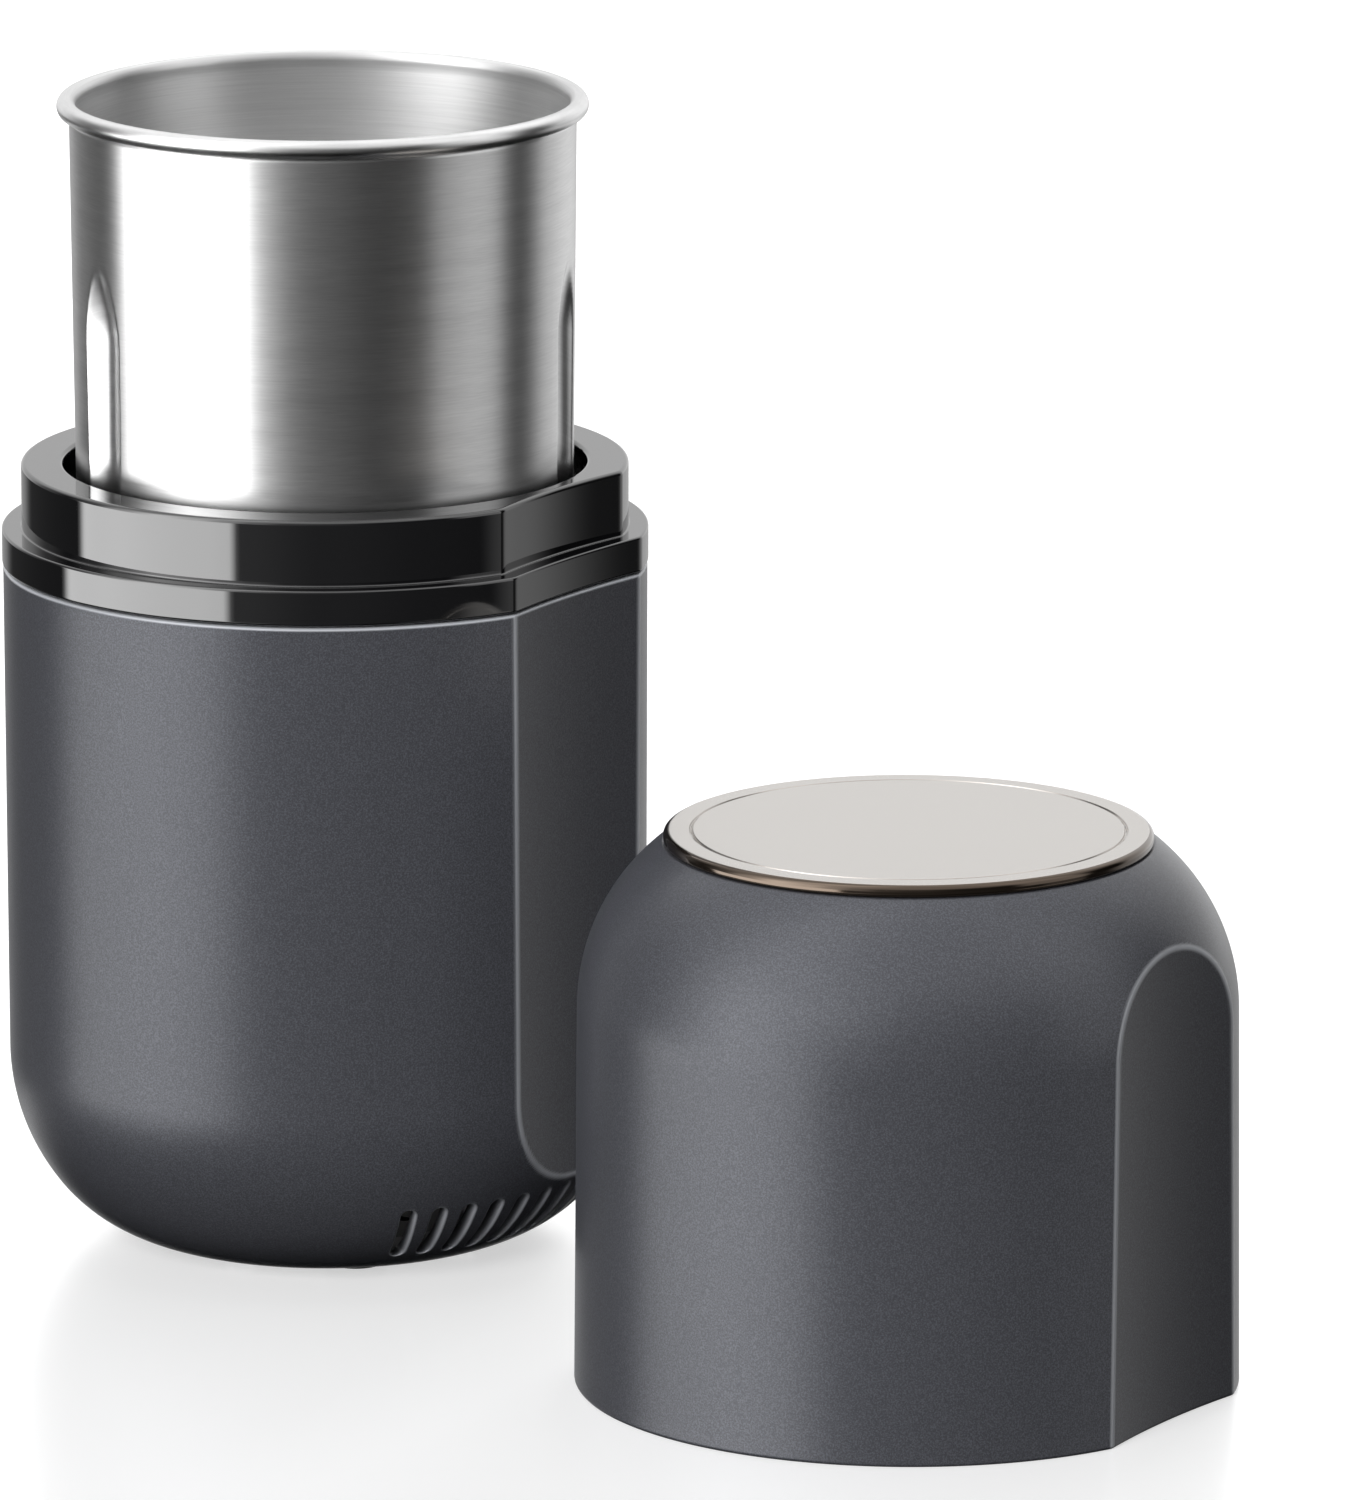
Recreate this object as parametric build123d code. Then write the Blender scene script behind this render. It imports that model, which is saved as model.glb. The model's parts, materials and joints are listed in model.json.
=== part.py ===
"""Electric spice grinder with a lift-out steel cup, shown open: the base stands with the cup in
its well, and the lid stands beside it on the same table.

Millimetres, +Z up. The origin is on the table, on the motor's axis, under the middle foot. The
plain front of the housing faces -Y, the hollow thumb grip faces +X and the cord inlet faces +Y.
"""

from build123d import *
import math
import os

# ---------------------------------------------------------------- driving dimensions
# Housing shell
shell_radius = 48.1            # outside, at its top edge
shell_top = 102.95             # height of its top edge
shell_wall = 2.2
shell_draft = 0.2              # degrees, narrower towards the table
shoulder_top = 29.2            # where the wall starts to curve in
shoulder_radius = 32.2
shoulder_turn = 37.7           # degrees of the large arc, before the toe arc takes over
toe_radius = 24.3
underside = 0.9                # housing's flat underside, above the table
shell_floor = 4.4              # thickness of the floor
edge_round = 0.5               # small round on every visible moulded edge

# Hollow thumb grip that runs down the housing, the collar and the lid
grip_hollow = 160.0            # radius of the hollow
grip_depth = 4.05              # at its middle, from the flange's circle

# Collar
flange_proud = 0.15            # flange beyond the shell's top edge
seam = 0.35                    # shell to flange, and lid to flange
flange_height = 5.3
ring_step = 2.95               # raised ring inside the flange's edge, for the lid's wall
ring_height = 9.8
ring_width = 6.3               # from the ring's outside to the well's bore
spigot_clear = 0.3             # collar spigot inside the shell
spigot_length = 5.3
grip_corner = 1.0              # soft corner of the ring where the grip starts

# Cup well
well_wall = 1.8
well_above_motor = 17.0        # well's floor above the underside of the motor's upper plate
well_floor = 2.5
well_seat = 0.2                # fixing flange below the collar's spigot
well_flange = 2.8
key_clear = 0.5                # keys of the well inside the cup's flutes

# Bottom cover and feet
cover_inset = 21.3             # cover's edge inside the shell's radius
cover_thick = 2.2
cover_clear = 0.2
foot_radius = 4.5
foot_margin = 5.8              # outer feet's middles inside the cover's edge
foot_seat = 1.3                # depth of a foot's pocket in the cover
cover_screw_margin = 3.2       # screws' middles inside the cover's edge
air_slot_length = 7.0
air_slot_width = 2.2
air_slot_circle = 11.2
air_slots = 12

# Vent slots round the sides and back, open at the front
vent_width = 2.3
vent_bottom = 4.6
vent_top = 13.4
vent_pitch = 6.5               # degrees
vent_first = 50.0              # degrees either side of the front

# Cord inlet
inlet_height = 24.0
inlet_depth = 1.9              # flat seat of the gland, inside the shell's radius
inlet_length = 6.2             # bore of the pad behind the seat
inlet_bore = 3.3
gland_flange = 7.2
gland_body = 5.0

# Motor, from the table up
lower_plate = 19.5             # underside of the lower bracket's plate
upper_plate = 71.5             # underside of the upper bracket's plate
bracket_plate = 2.0
bracket_skirt = 2.2
bracket_proud = 0.5            # brackets outside the core
mount_inset = 7.6              # motor mounts inside the well's outside
pillar_inset = 6.8             # housing pillars inside the well's outside
mount_gap = 6.2                # mounts outside the core
core_above = 20.5              # core's foot above the lower plate
core_below = 5.5               # core's head below the upper plate
bore_inset = 11.9              # pole faces inside the core's outside
window_inset = 5.5             # winding window's outside, inside the core's outside
window_depth = 3.9
bolt_inset = 2.7
stator_bolt = 1.9
air_gap = 0.5
armature_slots = 12
slot_depth = 5.4
coil_clear = 0.3
end_turn = 3.7                 # winding beyond the core, each end
shaft_radius = 3.0
shaft_tail = 1.0               # shaft below the fan's blades
bearing_radius = 7.5
bearing_length = 6.4
bearing_wall = 2.0
bearing_lip = 0.8              # floor of the cup that holds a bearing
commutator_radius = 9.0
commutator_length = 9.0
commutator_above = 6.5         # commutator's foot above the lower plate
brush_width = 6.0
brush_height = 7.0
brush_length = 8.0
brush_clear = 0.15             # carbon to copper
holder_wall = 1.0
holder_near = 1.4              # brush holder's mouth, outside the commutator
holder_length = 13.6
fan_inset = 8.5                # fan inside the core's outside
fan_gap = 0.5                  # fan below the lower bearing's cup
fan_height = 4.5
fan_plate = 1.3
fan_blades = 9

# Motor mounts and long housing pillars
mount_angles = (90.0, 210.0, 330.0)
pillar_angles = (30.0, 150.0, 270.0)
pillar_radius = 3.6
ear_radius = 5.6
grommet_waist = 3.9
grommet_lip = 1.6              # grommet's flanges beyond its waist
grommet_flange = 1.8
screw_shank = 1.5
pilot_clear = 0.05
hole_clear = 0.2

# Lid-operated interlock
plunger_inset = 2.0            # plunger inside the ring's outside
plunger_radius = 1.1
plunger_travel = 2.0
plunger_left = 0.7             # still above the ring when it is pressed
plunger_collar = 1.7
plunger_collar_height = 1.5
plunger_clear = 0.1
switch_width = 10.0
switch_depth = 4.0
switch_height = 9.5
switch_below = 13.0            # switch's top below the well's flange
button_radius = 1.0
button_proud = 2.58
tip_clear = 0.02               # button to plunger

# Cup
cup_rim_top = 173.5
cup_clear = 1.3                # wall under the rim, inside the well's bore
cup_draft = 0.6                # degrees
cup_wall = 0.8
cup_corner = 7.0
bead_radius = 1.4
bead_out = 0.4                 # bead's middle outside the wall
flute_radius = 8.0
flute_depth = 1.8
flute_angles = (-118.0, 20.0, 131.0)
flute_full = 139.5             # full depth up to here
flute_tip = 150.0              # the point of the flute
cup_base_clear = 0.4           # cup's base inside the well's bore
cup_base_rest = 0.3            # cup's base above the well's floor
cup_base_height = 13.6
cup_base_plate = 4.0
cup_base_lip = 4.0
steel_gap = 0.1                # cup's base to the steel
boss_radius = 7.5
bush_radius = 5.0
running_clear = 0.04
press_clear = 0.02

# Drive couplings, seen from above as a six-lobed star
coupling_lobes = 6
coupling_core = 4.6            # radius of the star's root
coupling_tip = 6.4
coupling_clear = 0.25
coupling_outer = 11.0
coupling_rest = 0.4            # socket above the well's floor
coupling_hub = 2.7
coupling_height = 7.5

# Blade
blade_thick = 1.4
blade_hub = 7.0
blade_clear = 10.2             # tips inside the cup's wall
blade_root_width = 12.0
blade_tip_width = 7.0
blade_bend_at = 15.0
blade_bends = (26.0, 12.0)     # degrees, one per wing

# Electrics
board_half = 13.0
board_gap = 4.2                # board inside the cord inlet's pad
board_thick = 1.6
board_bottom = 33.0
board_height = 29.0
seal_seat_radius = 7.0

# Lid
lid_x = 118.0                  # where the lid stands, from the motor's axis
lid_y = -25.0
lid_proud = 0.1                # lid's foot beyond the shell's top edge
lid_draft = 0.5
lid_shoulder = 30.4
lid_crown_inset = 12.7         # flat crown inside the lid's foot
lid_wall = 2.2
lid_plate_thick = 1.85
lid_plate_inset = 0.2
lid_spigot_inset = 3.5
lid_recess = 1.7
lid_ledge = 1.8
lid_ledge_width = 6.0
plate_groove_inset = 4.0
plate_groove_width = 0.6
plate_groove_depth = 0.35
liner_over_ring = 0.7
liner_flange = 2.0
liner_clear = 0.3
rim_clear = 1.1                # liner outside the cup's bead
liner_wall = 1.8
liner_plate = 1.8
liner_corner = 3.0
liner_below = 14.3             # lid's straight wall ends below the liner's top
seal_width = 4.0
seal_height = 2.6
seal_over_rim = 0.7
seal_inset = 0.6               # seal's middle inside the bead's
lid_screw_angles = (45.0, 135.0, 225.0, 315.0)

# ---------------------------------------------------------------- derived sizes
flange_radius = shell_radius + flange_proud
flange_bottom = shell_top + seam
flange_top = flange_bottom + flange_height
ring_radius = flange_radius - ring_step
ring_top = flange_top + ring_height
spigot_bottom = flange_bottom - spigot_length
spigot_radius = shell_radius - shell_wall - spigot_clear
grip_face = flange_radius - grip_depth

well_bore = ring_radius - ring_width
well_outer = well_bore + well_wall
well_floor_top = upper_plate + well_above_motor
well_bottom = well_floor_top - well_floor
well_flange_top = spigot_bottom - well_seat
well_flange_bottom = well_flange_top - well_flange

cover_radius = shell_radius - cover_inset
cover_top = underside + cover_thick
feet_circle = cover_radius - foot_margin
cover_screw_circle = cover_radius - cover_screw_margin
shell_inner_floor = underside + shell_floor
inlet_face = shell_radius - inlet_depth
inlet_boss = inlet_face - inlet_length
board_near = inlet_boss - board_gap
board_top = board_bottom + board_height

mount_circle = well_outer - mount_inset
pillar_circle = well_outer - pillar_inset
stator_radius = mount_circle - mount_gap
stator_bore = stator_radius - bore_inset
window_outer = stator_radius - window_inset
window_inner = window_outer - window_depth
stator_bolt_circle = stator_radius - bolt_inset
bracket_radius = stator_radius + bracket_proud
armature_radius = stator_bore - air_gap
core_bottom = lower_plate + core_above
core_top = upper_plate - core_below
commutator_bottom = lower_plate + commutator_above
commutator_top = commutator_bottom + commutator_length
bearing_cup_length = bearing_length + 2 * bearing_lip
fan_radius = stator_radius - fan_inset
fan_plate_top = lower_plate + bracket_plate - bearing_cup_length - fan_gap
fan_bottom = fan_plate_top - fan_height
shaft_bottom = fan_bottom - shaft_tail
brush_outer = commutator_radius + brush_length
holder_end = commutator_radius + holder_near + holder_length

plunger_circle = ring_radius - plunger_inset
plunger_top = ring_top + plunger_travel + plunger_left
plunger_collar_bottom = flange_bottom + 2 * plunger_clear
switch_top = well_flange_bottom - switch_below
switch_bottom = switch_top - switch_height
plunger_bottom = switch_top + button_proud + tip_clear

coupling_bottom = well_floor_top + coupling_rest
coupling_top = coupling_bottom + coupling_height
cup_base_bottom = well_floor_top + cup_base_rest
cup_base_top = cup_base_bottom + cup_base_height
cup_base_radius = well_bore - cup_base_clear
cup_floor = cup_base_top + steel_gap
cup_inner_floor = cup_floor + cup_wall
cup_slope = math.tan(math.radians(cup_draft))
cup_radius_top = well_bore - cup_clear
cup_radius_bottom = cup_radius_top - (cup_rim_top - cup_floor) * cup_slope
bead_circle = cup_radius_top + bead_out
flute_circle = cup_radius_bottom + flute_radius - flute_depth
blade_reach = cup_radius_top - blade_clear

lid_radius = shell_radius + lid_proud
lid_top_radius = lid_radius - lid_crown_inset
lid_plate_radius = lid_top_radius - lid_plate_inset
lid_plate_spigot = lid_top_radius - lid_spigot_inset
lid_ledge_bore = lid_plate_spigot - lid_ledge_width
lid_screw_circle = lid_ledge_bore + lid_ledge_width / 2
plate_groove_circle = lid_plate_radius - plate_groove_inset
liner_bore = bead_circle + bead_radius + rim_clear
liner_bottom = ring_height + liner_over_ring
seal_bottom = cup_rim_top - flange_top + seal_over_rim
liner_top = seal_bottom + seal_height + liner_plate
lid_wall_height = liner_top - liner_below
lid_slope = math.tan(math.radians(lid_draft))
lid_side = lid_radius - lid_wall_height * lid_slope
lid_arc_radius = lid_side - lid_shoulder * math.cos(math.radians(lid_draft))
lid_top_angle = math.degrees(math.acos((lid_top_radius - lid_arc_radius) / lid_shoulder))
UP = (Align.CENTER, Align.CENTER, Align.MIN)


# ---------------------------------------------------------------- shared tools
def disc(radius, bottom, top):
    """A plain cylinder on the Z axis between two heights."""
    return Pos(0, 0, bottom) * Cylinder(radius, top - bottom, align=UP)


def tube(outer, inner, bottom, top):
    """A ring on the Z axis between two heights."""
    return disc(outer, bottom, top) - disc(inner, bottom, top)


def block(x, y, z):
    """A box from its three (low, high) pairs."""
    return Pos((x[0] + x[1]) / 2, (y[0] + y[1]) / 2, (z[0] + z[1]) / 2) * Box(
        x[1] - x[0], y[1] - y[0], z[1] - z[0])


def lathe(*points):
    """A solid of revolution about Z from its closed (radius, height) outline."""
    outline = Polyline(*[(r, 0, z) for r, z in points], close=True)
    return revolve(Face(Wire(outline.edges())), Axis.Z)


def arc(centre, radius, start, end):
    """An arc in the XZ plane, angles in degrees from +X towards +Z."""
    points = []
    for angle in (start, (start + end) / 2, end):
        a = math.radians(angle)
        points.append((centre[0] + radius * math.cos(a), 0, centre[1] + radius * math.sin(a)))
    return ThreePointArc(*points)


def at(radius, angle, height=0.0):
    """The place at a radius and an angle, turned to face outwards."""
    return Rot(0, 0, angle) * Pos(radius, 0, height)


def spread(shape, angles, radius=0.0):
    """Copies of a shape moved out to a radius and turned to each angle."""
    return [at(radius, angle) * shape for angle in angles]


def fuse(shapes):
    """One solid from several that meet."""
    whole = shapes[0]
    for shape in shapes[1:]:
        whole = whole + shape
    return whole


def cut(shape, tools):
    """A shape less several tools."""
    for tool in tools:
        shape = shape - tool
    return shape


def sector(inner, outer, start, end, bottom, top):
    """A piece of a ring between two angles and two heights."""
    middle = math.radians((start + end) / 2)
    half = math.radians((end - start) / 2)
    reach = outer * 1.5
    wedge = Polyline(
        (0, 0), (reach * math.cos(middle - half), reach * math.sin(middle - half)),
        (reach * math.cos(middle) / math.cos(half), reach * math.sin(middle) / math.cos(half)),
        (reach * math.cos(middle + half), reach * math.sin(middle + half)), close=True)
    prism = Pos(0, 0, bottom) * extrude(make_face(wedge), top - bottom)
    return tube(outer, inner, bottom, top) & prism


def grip_tool(inset, bottom, top):
    """The cutter for the thumb grip, set inwards by a wall or a clearance."""
    centre = grip_face + grip_hollow
    return Pos(centre, 0, bottom) * Cylinder(grip_hollow + inset, top - bottom, align=UP)


def d_plate(radius, inset, bottom, top, corner=0.0):
    """A round plate with the thumb grip cut into its side and softened corners."""
    outline = Circle(radius) - Pos(grip_face + grip_hollow, 0) * Circle(grip_hollow + inset)
    if corner:
        outline = fillet(outline.vertices(), corner)
    return Pos(0, 0, bottom) * extrude(outline, top - bottom)


def screw(head_radius, head_height, shank_radius, shank_length):
    """A pan-head screw, head up, seated with its head's underside at z = 0."""
    body = Cylinder(head_radius, head_height, align=UP)
    body = fillet(body.edges().group_by(Axis.Z)[-1], head_height * 0.4)
    slot = Box(head_radius * 1.1, head_radius * 0.28, head_height * 1.2, align=UP)
    slot = Pos(0, 0, head_height * 0.5) * slot
    body = cut(body, [slot, Rot(0, 0, 90) * slot])
    return body + Pos(0, 0, -shank_length) * Cylinder(shank_radius, shank_length + 0.01, align=UP)


def coil_spring(mean_radius, wire_radius, length, turns):
    """An open helical spring from z = 0 to its length."""
    rise = length - 2 * wire_radius
    path = Helix(pitch=rise / turns, height=rise, radius=mean_radius)
    section = Plane(origin=path @ 0, z_dir=path % 0) * Circle(wire_radius)
    return Pos(0, 0, wire_radius) * sweep(section, path=path, is_frenet=True)


# ---------------------------------------------------------------- housing
def housing_form(inset, bottom, top):
    """The housing's outline as a solid of revolution, set inwards by a wall."""
    draft = math.radians(shell_draft)
    turn = math.radians(shoulder_turn)
    side = shell_radius - (shell_top - shoulder_top) * math.tan(draft)
    centre = (side - shoulder_radius * math.cos(draft), shoulder_top + shoulder_radius * math.sin(draft))
    step = shoulder_radius - toe_radius
    toe_centre = (centre[0] + step * math.cos(turn), centre[1] - step * math.sin(turn))
    big = shoulder_radius - inset
    small = toe_radius - inset
    end = math.degrees(math.asin((toe_centre[1] - bottom) / small))
    start = (centre[0] + big * math.cos(draft), centre[1] - big * math.sin(draft))
    foot = (toe_centre[0] + small * math.cos(math.radians(end)), bottom)
    upper = (start[0] + (top - start[1]) * math.tan(draft), top)
    edges = [
        Line((0, 0, top), (upper[0], 0, top)),
        Line((upper[0], 0, top), (start[0], 0, start[1])),
        arc(centre, big, -shell_draft, -shoulder_turn),
        arc(toe_centre, small, -shoulder_turn, -end),
        Line((foot[0], 0, bottom), (0, 0, bottom)),
        Line((0, 0, bottom), (0, 0, top)),
    ]
    return revolve(Face(Wire(edges)), Axis.Z)


def vent_tool():
    """One upright slot with round ends, pointing along -Y."""
    length = vent_top - vent_bottom
    near = shell_radius * 0.6
    slot = SlotOverall(length, vent_width, rotation=90)
    plane = Plane(origin=(0, -near, (vent_bottom + vent_top) / 2), x_dir=(1, 0, 0), z_dir=(0, -1, 0))
    return extrude(plane * slot, shell_radius + 5 - near)


def vent_tools():
    """Every slot, cut back to just inside the wall, so that the pillars behind stay whole."""
    behind = housing_form(shell_wall + 0.5, vent_bottom - 1, vent_top + 1)
    tool = vent_tool() - behind
    return [Rot(0, 0, angle) * tool for angle in vent_angles()]


def vent_angles():
    """Every slot's angle from the front, round the sides and back."""
    count = int(round((360 - 2 * vent_first) / vent_pitch)) + 1
    pitch = (360 - 2 * vent_first) / (count - 1)
    return [vent_first + i * pitch for i in range(count)]


def inlet_cylinder(radius, near, far):
    """A cylinder on the cord inlet's axis, between two distances from the motor's axis."""
    return Pos(0, near, inlet_height) * Rot(-90, 0, 0) * Cylinder(radius, far - near, align=UP)


def body_shell():
    """Painted outer housing with its grip, vents, cord seat, screw pillars and board rails."""
    cavity_top = shell_top + 1
    solid = housing_form(0, underside, shell_top) - grip_tool(0, -1, shell_top + 1)
    cavity = housing_form(shell_wall, shell_inner_floor, cavity_top)
    cavity -= grip_tool(shell_wall, 0, cavity_top + 1)
    shell = solid - cavity

    pillar = disc(pillar_radius, shell_inner_floor - 0.5, well_bottom)
    pillars = spread(pillar, pillar_angles, pillar_circle)
    gusset = block((pillar_circle, shell_radius), (-0.9, 0.9), (shell_inner_floor, well_bottom - 6))
    gussets = spread(gusset, pillar_angles)
    boss = disc(screw_shank + 1.8, shell_inner_floor - 0.5, shell_inner_floor + 3.2)
    cover_bosses = spread(boss, cover_screw_angles(), cover_screw_circle)
    inlet_pad = inlet_cylinder(8.0, inlet_boss, inlet_face + 1.2)
    rails = [block((side * board_half - 1.5, side * board_half + 1.5), (board_near - 1.8, shell_radius),
                   (board_bottom - 2.0, board_top))
             for side in (-1, 1)]
    inside = fuse(pillars + gussets + cover_bosses + [inlet_pad] + rails)
    shell += inside & solid

    shell -= disc(cover_radius + cover_clear, underside - 1, cover_top)
    shell -= disc(cover_radius - 4.0, underside - 1, shell_inner_floor + 5)
    pilot = disc(screw_shank + pilot_clear, well_bottom - 14, well_bottom + 1)
    shell = cut(shell, spread(pilot, pillar_angles, pillar_circle))
    cover_pilot = disc(screw_shank + pilot_clear, underside, shell_inner_floor + 2.2)
    shell = cut(shell, spread(cover_pilot, cover_screw_angles(), cover_screw_circle))
    shell -= inlet_cylinder(gland_flange + 0.1, inlet_face, shell_radius + 2)
    shell -= inlet_cylinder(gland_body + 0.05, inlet_boss - 1, inlet_face + 1)
    shell -= block((-board_half - 0.1, board_half + 0.1),
                   (board_near - 0.1, board_near + board_thick + 0.1), (board_bottom, board_top + 0.1))
    return cut(shell, vent_tools())


def cover_screw_angles():
    """The cover's screws lie between its feet."""
    return [0.0, 90.0, 180.0, 270.0]


def at_feet(part):
    """A foot, or its pocket, at the four outer places and in the middle."""
    return spread(part, [45.0, 135.0, 225.0, 315.0], feet_circle) + [part]


def bottom_cover():
    """Round cover with foot pockets, screw seats and a ring of air slots."""
    cover = disc(cover_radius, underside, cover_top)
    pockets = at_feet(disc(foot_radius + 0.05, underside - 1, underside + foot_seat))
    hole = disc(screw_shank + hole_clear, underside - 1, cover_top + 1)
    holes = spread(hole, cover_screw_angles(), cover_screw_circle)
    seats = spread(disc(2.9, underside - 1, underside + 1.2), cover_screw_angles(), cover_screw_circle)
    slot = extrude(SlotOverall(air_slot_length, air_slot_width), cover_thick + 2)
    slots = [at(air_slot_circle, i * 360 / air_slots, underside - 1) * slot for i in range(air_slots)]
    return cut(cover, pockets + holes + seats + slots)


def rubber_feet():
    """Five rubber feet, each seated in its pocket and standing on the table."""
    foot = Cylinder(foot_radius, underside + foot_seat, align=UP)
    foot = fillet(foot.edges().group_by(Axis.Z)[0], 0.4)
    return at_feet(foot)


def bottom_cover_screws():
    """Four screws that pull the cover against the shell's floor."""
    part = Pos(0, 0, underside + 1.2) * Rot(180, 0, 0) * screw(2.6, 1.0, screw_shank, 5.0)
    return spread(part, cover_screw_angles(), cover_screw_circle)


def cord_gland():
    """Rubber bush for the mains lead, with a flush flange and an inner retaining lip."""
    gland = inlet_cylinder(gland_flange, inlet_face, inlet_face + 1.6)
    gland += inlet_cylinder(gland_body, inlet_boss - 0.1, inlet_face + 0.5)
    gland += inlet_cylinder(gland_body + 1.0, inlet_boss - 1.6, inlet_boss - 0.1)
    return gland - inlet_cylinder(inlet_bore, inlet_boss - 5, inlet_face + 5)


# ---------------------------------------------------------------- collar and well
def collar():
    """Gloss collar: the flange between housing and lid, and the raised ring the lid fits over."""
    ring_inset = flange_radius - ring_radius
    flange = d_plate(flange_radius, 0, flange_bottom, flange_top, 1.0)
    levels = flange.edges().group_by(Axis.Z)
    flange = fillet(levels[-1] + levels[0], edge_round * 0.6)
    ring = d_plate(ring_radius, ring_inset, flange_top - 0.5, ring_top, grip_corner)
    ring = fillet(ring.edges().group_by(Axis.Z)[-1], edge_round)
    spigot = d_plate(spigot_radius, shell_wall + spigot_clear, spigot_bottom, flange_bottom + 0.5, 1.0)
    body = flange + ring + spigot
    body -= disc(well_bore, spigot_bottom - 1, ring_top + 1)
    body -= disc(well_outer + 0.2, spigot_bottom - 1, flange_bottom)
    rims = [e for e in body.edges().filter_by(GeomType.CIRCLE) if abs(e.radius - well_bore) < 0.01]
    body = fillet(ShapeList(rims).sort_by(Axis.Z)[-1], edge_round)

    bore = disc(plunger_radius + plunger_clear, spigot_bottom, ring_top + 1)
    pocket = disc(plunger_collar + plunger_clear, spigot_bottom - 1,
                  plunger_collar_bottom + plunger_collar_height + 0.05)
    body = cut(body, [at(plunger_circle, 90.0) * bore, at(plunger_circle, 90.0) * pocket])
    pilot = disc(1.0 + pilot_clear, spigot_bottom - 1, spigot_bottom + 4.6)
    return cut(body, spread(pilot, collar_screw_angles(), plunger_circle))


def collar_screw_angles():
    return [45.0, 135.0, 225.0, 315.0]


def cup_well():
    """The well that the cup stands in: floor, keyed wall, fixing flange, motor bosses, switch cradle."""
    well = disc(well_outer, well_bottom, flange_bottom - 0.1)
    inset = shell_wall + spigot_clear + 0.5
    well += d_plate(spigot_radius - 0.5, inset, well_flange_bottom, well_flange_top, 1.0)
    well -= disc(well_bore, well_floor_top, flange_bottom + 1)
    key = disc(flute_radius - key_clear, well_floor_top - 0.1, well_flange_top + 3.0)
    key = fillet(key.edges().group_by(Axis.Z)[-1], 1.0)
    keys = spread(key, flute_angles, flute_circle)
    well += fuse(keys) & disc(well_bore + 0.3, well_bottom, flange_bottom)
    boss = disc(4.5, upper_plate + bracket_plate + grommet_flange + 0.1, well_bottom + 0.1)
    bosses = spread(boss, mount_angles, mount_circle)
    cradle_half = switch_width / 2 + 1.4
    cradle = block((-cradle_half, cradle_half), (well_bore + 0.5, plunger_circle + switch_depth / 2 - 0.3),
                   (switch_bottom - 1.6, well_flange_bottom + 0.5))
    well += fuse(bosses + [cradle])
    well -= block((-switch_width / 2 - 0.1, switch_width / 2 + 0.1), (well_outer + 0.1, plunger_circle + 5),
                  (switch_bottom, well_flange_bottom))
    well -= block((-4.3, 4.3), (plunger_circle - 0.6, plunger_circle + 5),
                  (switch_bottom - 3, switch_bottom + 1))
    pilot = disc(screw_shank + pilot_clear, upper_plate, well_bottom - 1.0)
    pilots = spread(pilot, mount_angles, mount_circle)
    hole = disc(screw_shank + hole_clear, well_bottom - 1, well_floor_top + 1)
    holes = spread(hole, pillar_angles, pillar_circle)
    seats = spread(disc(3.5, well_bottom + 1.0, well_floor_top + 1), pillar_angles, pillar_circle)
    collar_hole = disc(1.0 + hole_clear, well_flange_bottom - 1, well_flange_top + 1)
    collar_holes = spread(collar_hole, collar_screw_angles(), plunger_circle)
    pin_hole = disc(plunger_radius + plunger_clear, well_flange_bottom - 1, well_flange_top + 1)
    pin_hole = at(plunger_circle, 90.0) * pin_hole
    seal_seat = disc(seal_seat_radius, well_bottom + 0.5, well_floor_top + 1)
    shaft_hole = disc(shaft_radius + 1.0, well_bottom - 1, well_floor_top)
    return cut(well, pilots + holes + seats + collar_holes + [pin_hole, seal_seat, shaft_hole])


def shaft_seal():
    """Rubber lip seal that keeps powder out of the motor."""
    lip = shaft_radius + running_clear
    outside = seal_seat_radius - 0.05
    return lathe((shaft_radius + 0.3, well_bottom + 0.5), (outside, well_bottom + 0.5),
                 (outside, well_floor_top), (shaft_radius + 1.6, well_floor_top),
                 (lip, well_floor_top - 0.5), (lip, well_floor_top - 0.9))


def collar_screws():
    """Four small screws through the well's flange into the collar's spigot."""
    part = Pos(0, 0, well_flange_bottom) * Rot(180, 0, 0) * screw(1.8, 1.2, 1.0, 7.0)
    return spread(part, collar_screw_angles(), plunger_circle)


def housing_screws():
    """Three screws in the well's floor, down into the shell's pillars."""
    part = Pos(0, 0, well_bottom + 1.0) * screw(3.1, 1.4, screw_shank, 13.0)
    return spread(part, pillar_angles, pillar_circle)


# ---------------------------------------------------------------- interlock
def interlock_plunger():
    """The pin that the lid pushes down to free the motor's switch."""
    pin = disc(plunger_radius, plunger_bottom, plunger_top)
    pin = fillet(pin.edges().group_by(Axis.Z)[-1], 0.6)
    pin += disc(plunger_collar, plunger_collar_bottom, plunger_collar_bottom + plunger_collar_height)
    return at(plunger_circle, 90.0) * pin


def plunger_spring():
    """Return spring between the well's flange and the plunger's collar."""
    wire = 0.18
    spring = coil_spring(plunger_radius + 0.3, wire, plunger_collar_bottom - well_flange_top - 0.1, 5)
    return at(plunger_circle, 90.0, well_flange_top + 0.05) * spring


def switch_case():
    """Small snap-action switch in the well's cradle, with two solder tags."""
    depth = (plunger_circle - switch_depth / 2 + 0.2, plunger_circle + switch_depth / 2 - 0.2)
    case = block((-switch_width / 2, switch_width / 2), depth, (switch_bottom, switch_top))
    hole = disc(button_radius + plunger_clear, switch_top - 4.5, switch_top + 1)
    case -= Pos(0, plunger_circle, 0) * hole
    tags = [block((x - 1.0, x + 1.0), (plunger_circle - 0.25, plunger_circle + 0.25),
                  (switch_bottom - 3.5, switch_bottom + 0.1)) for x in (-3.0, 3.0)]
    return fuse([case] + tags)


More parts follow.
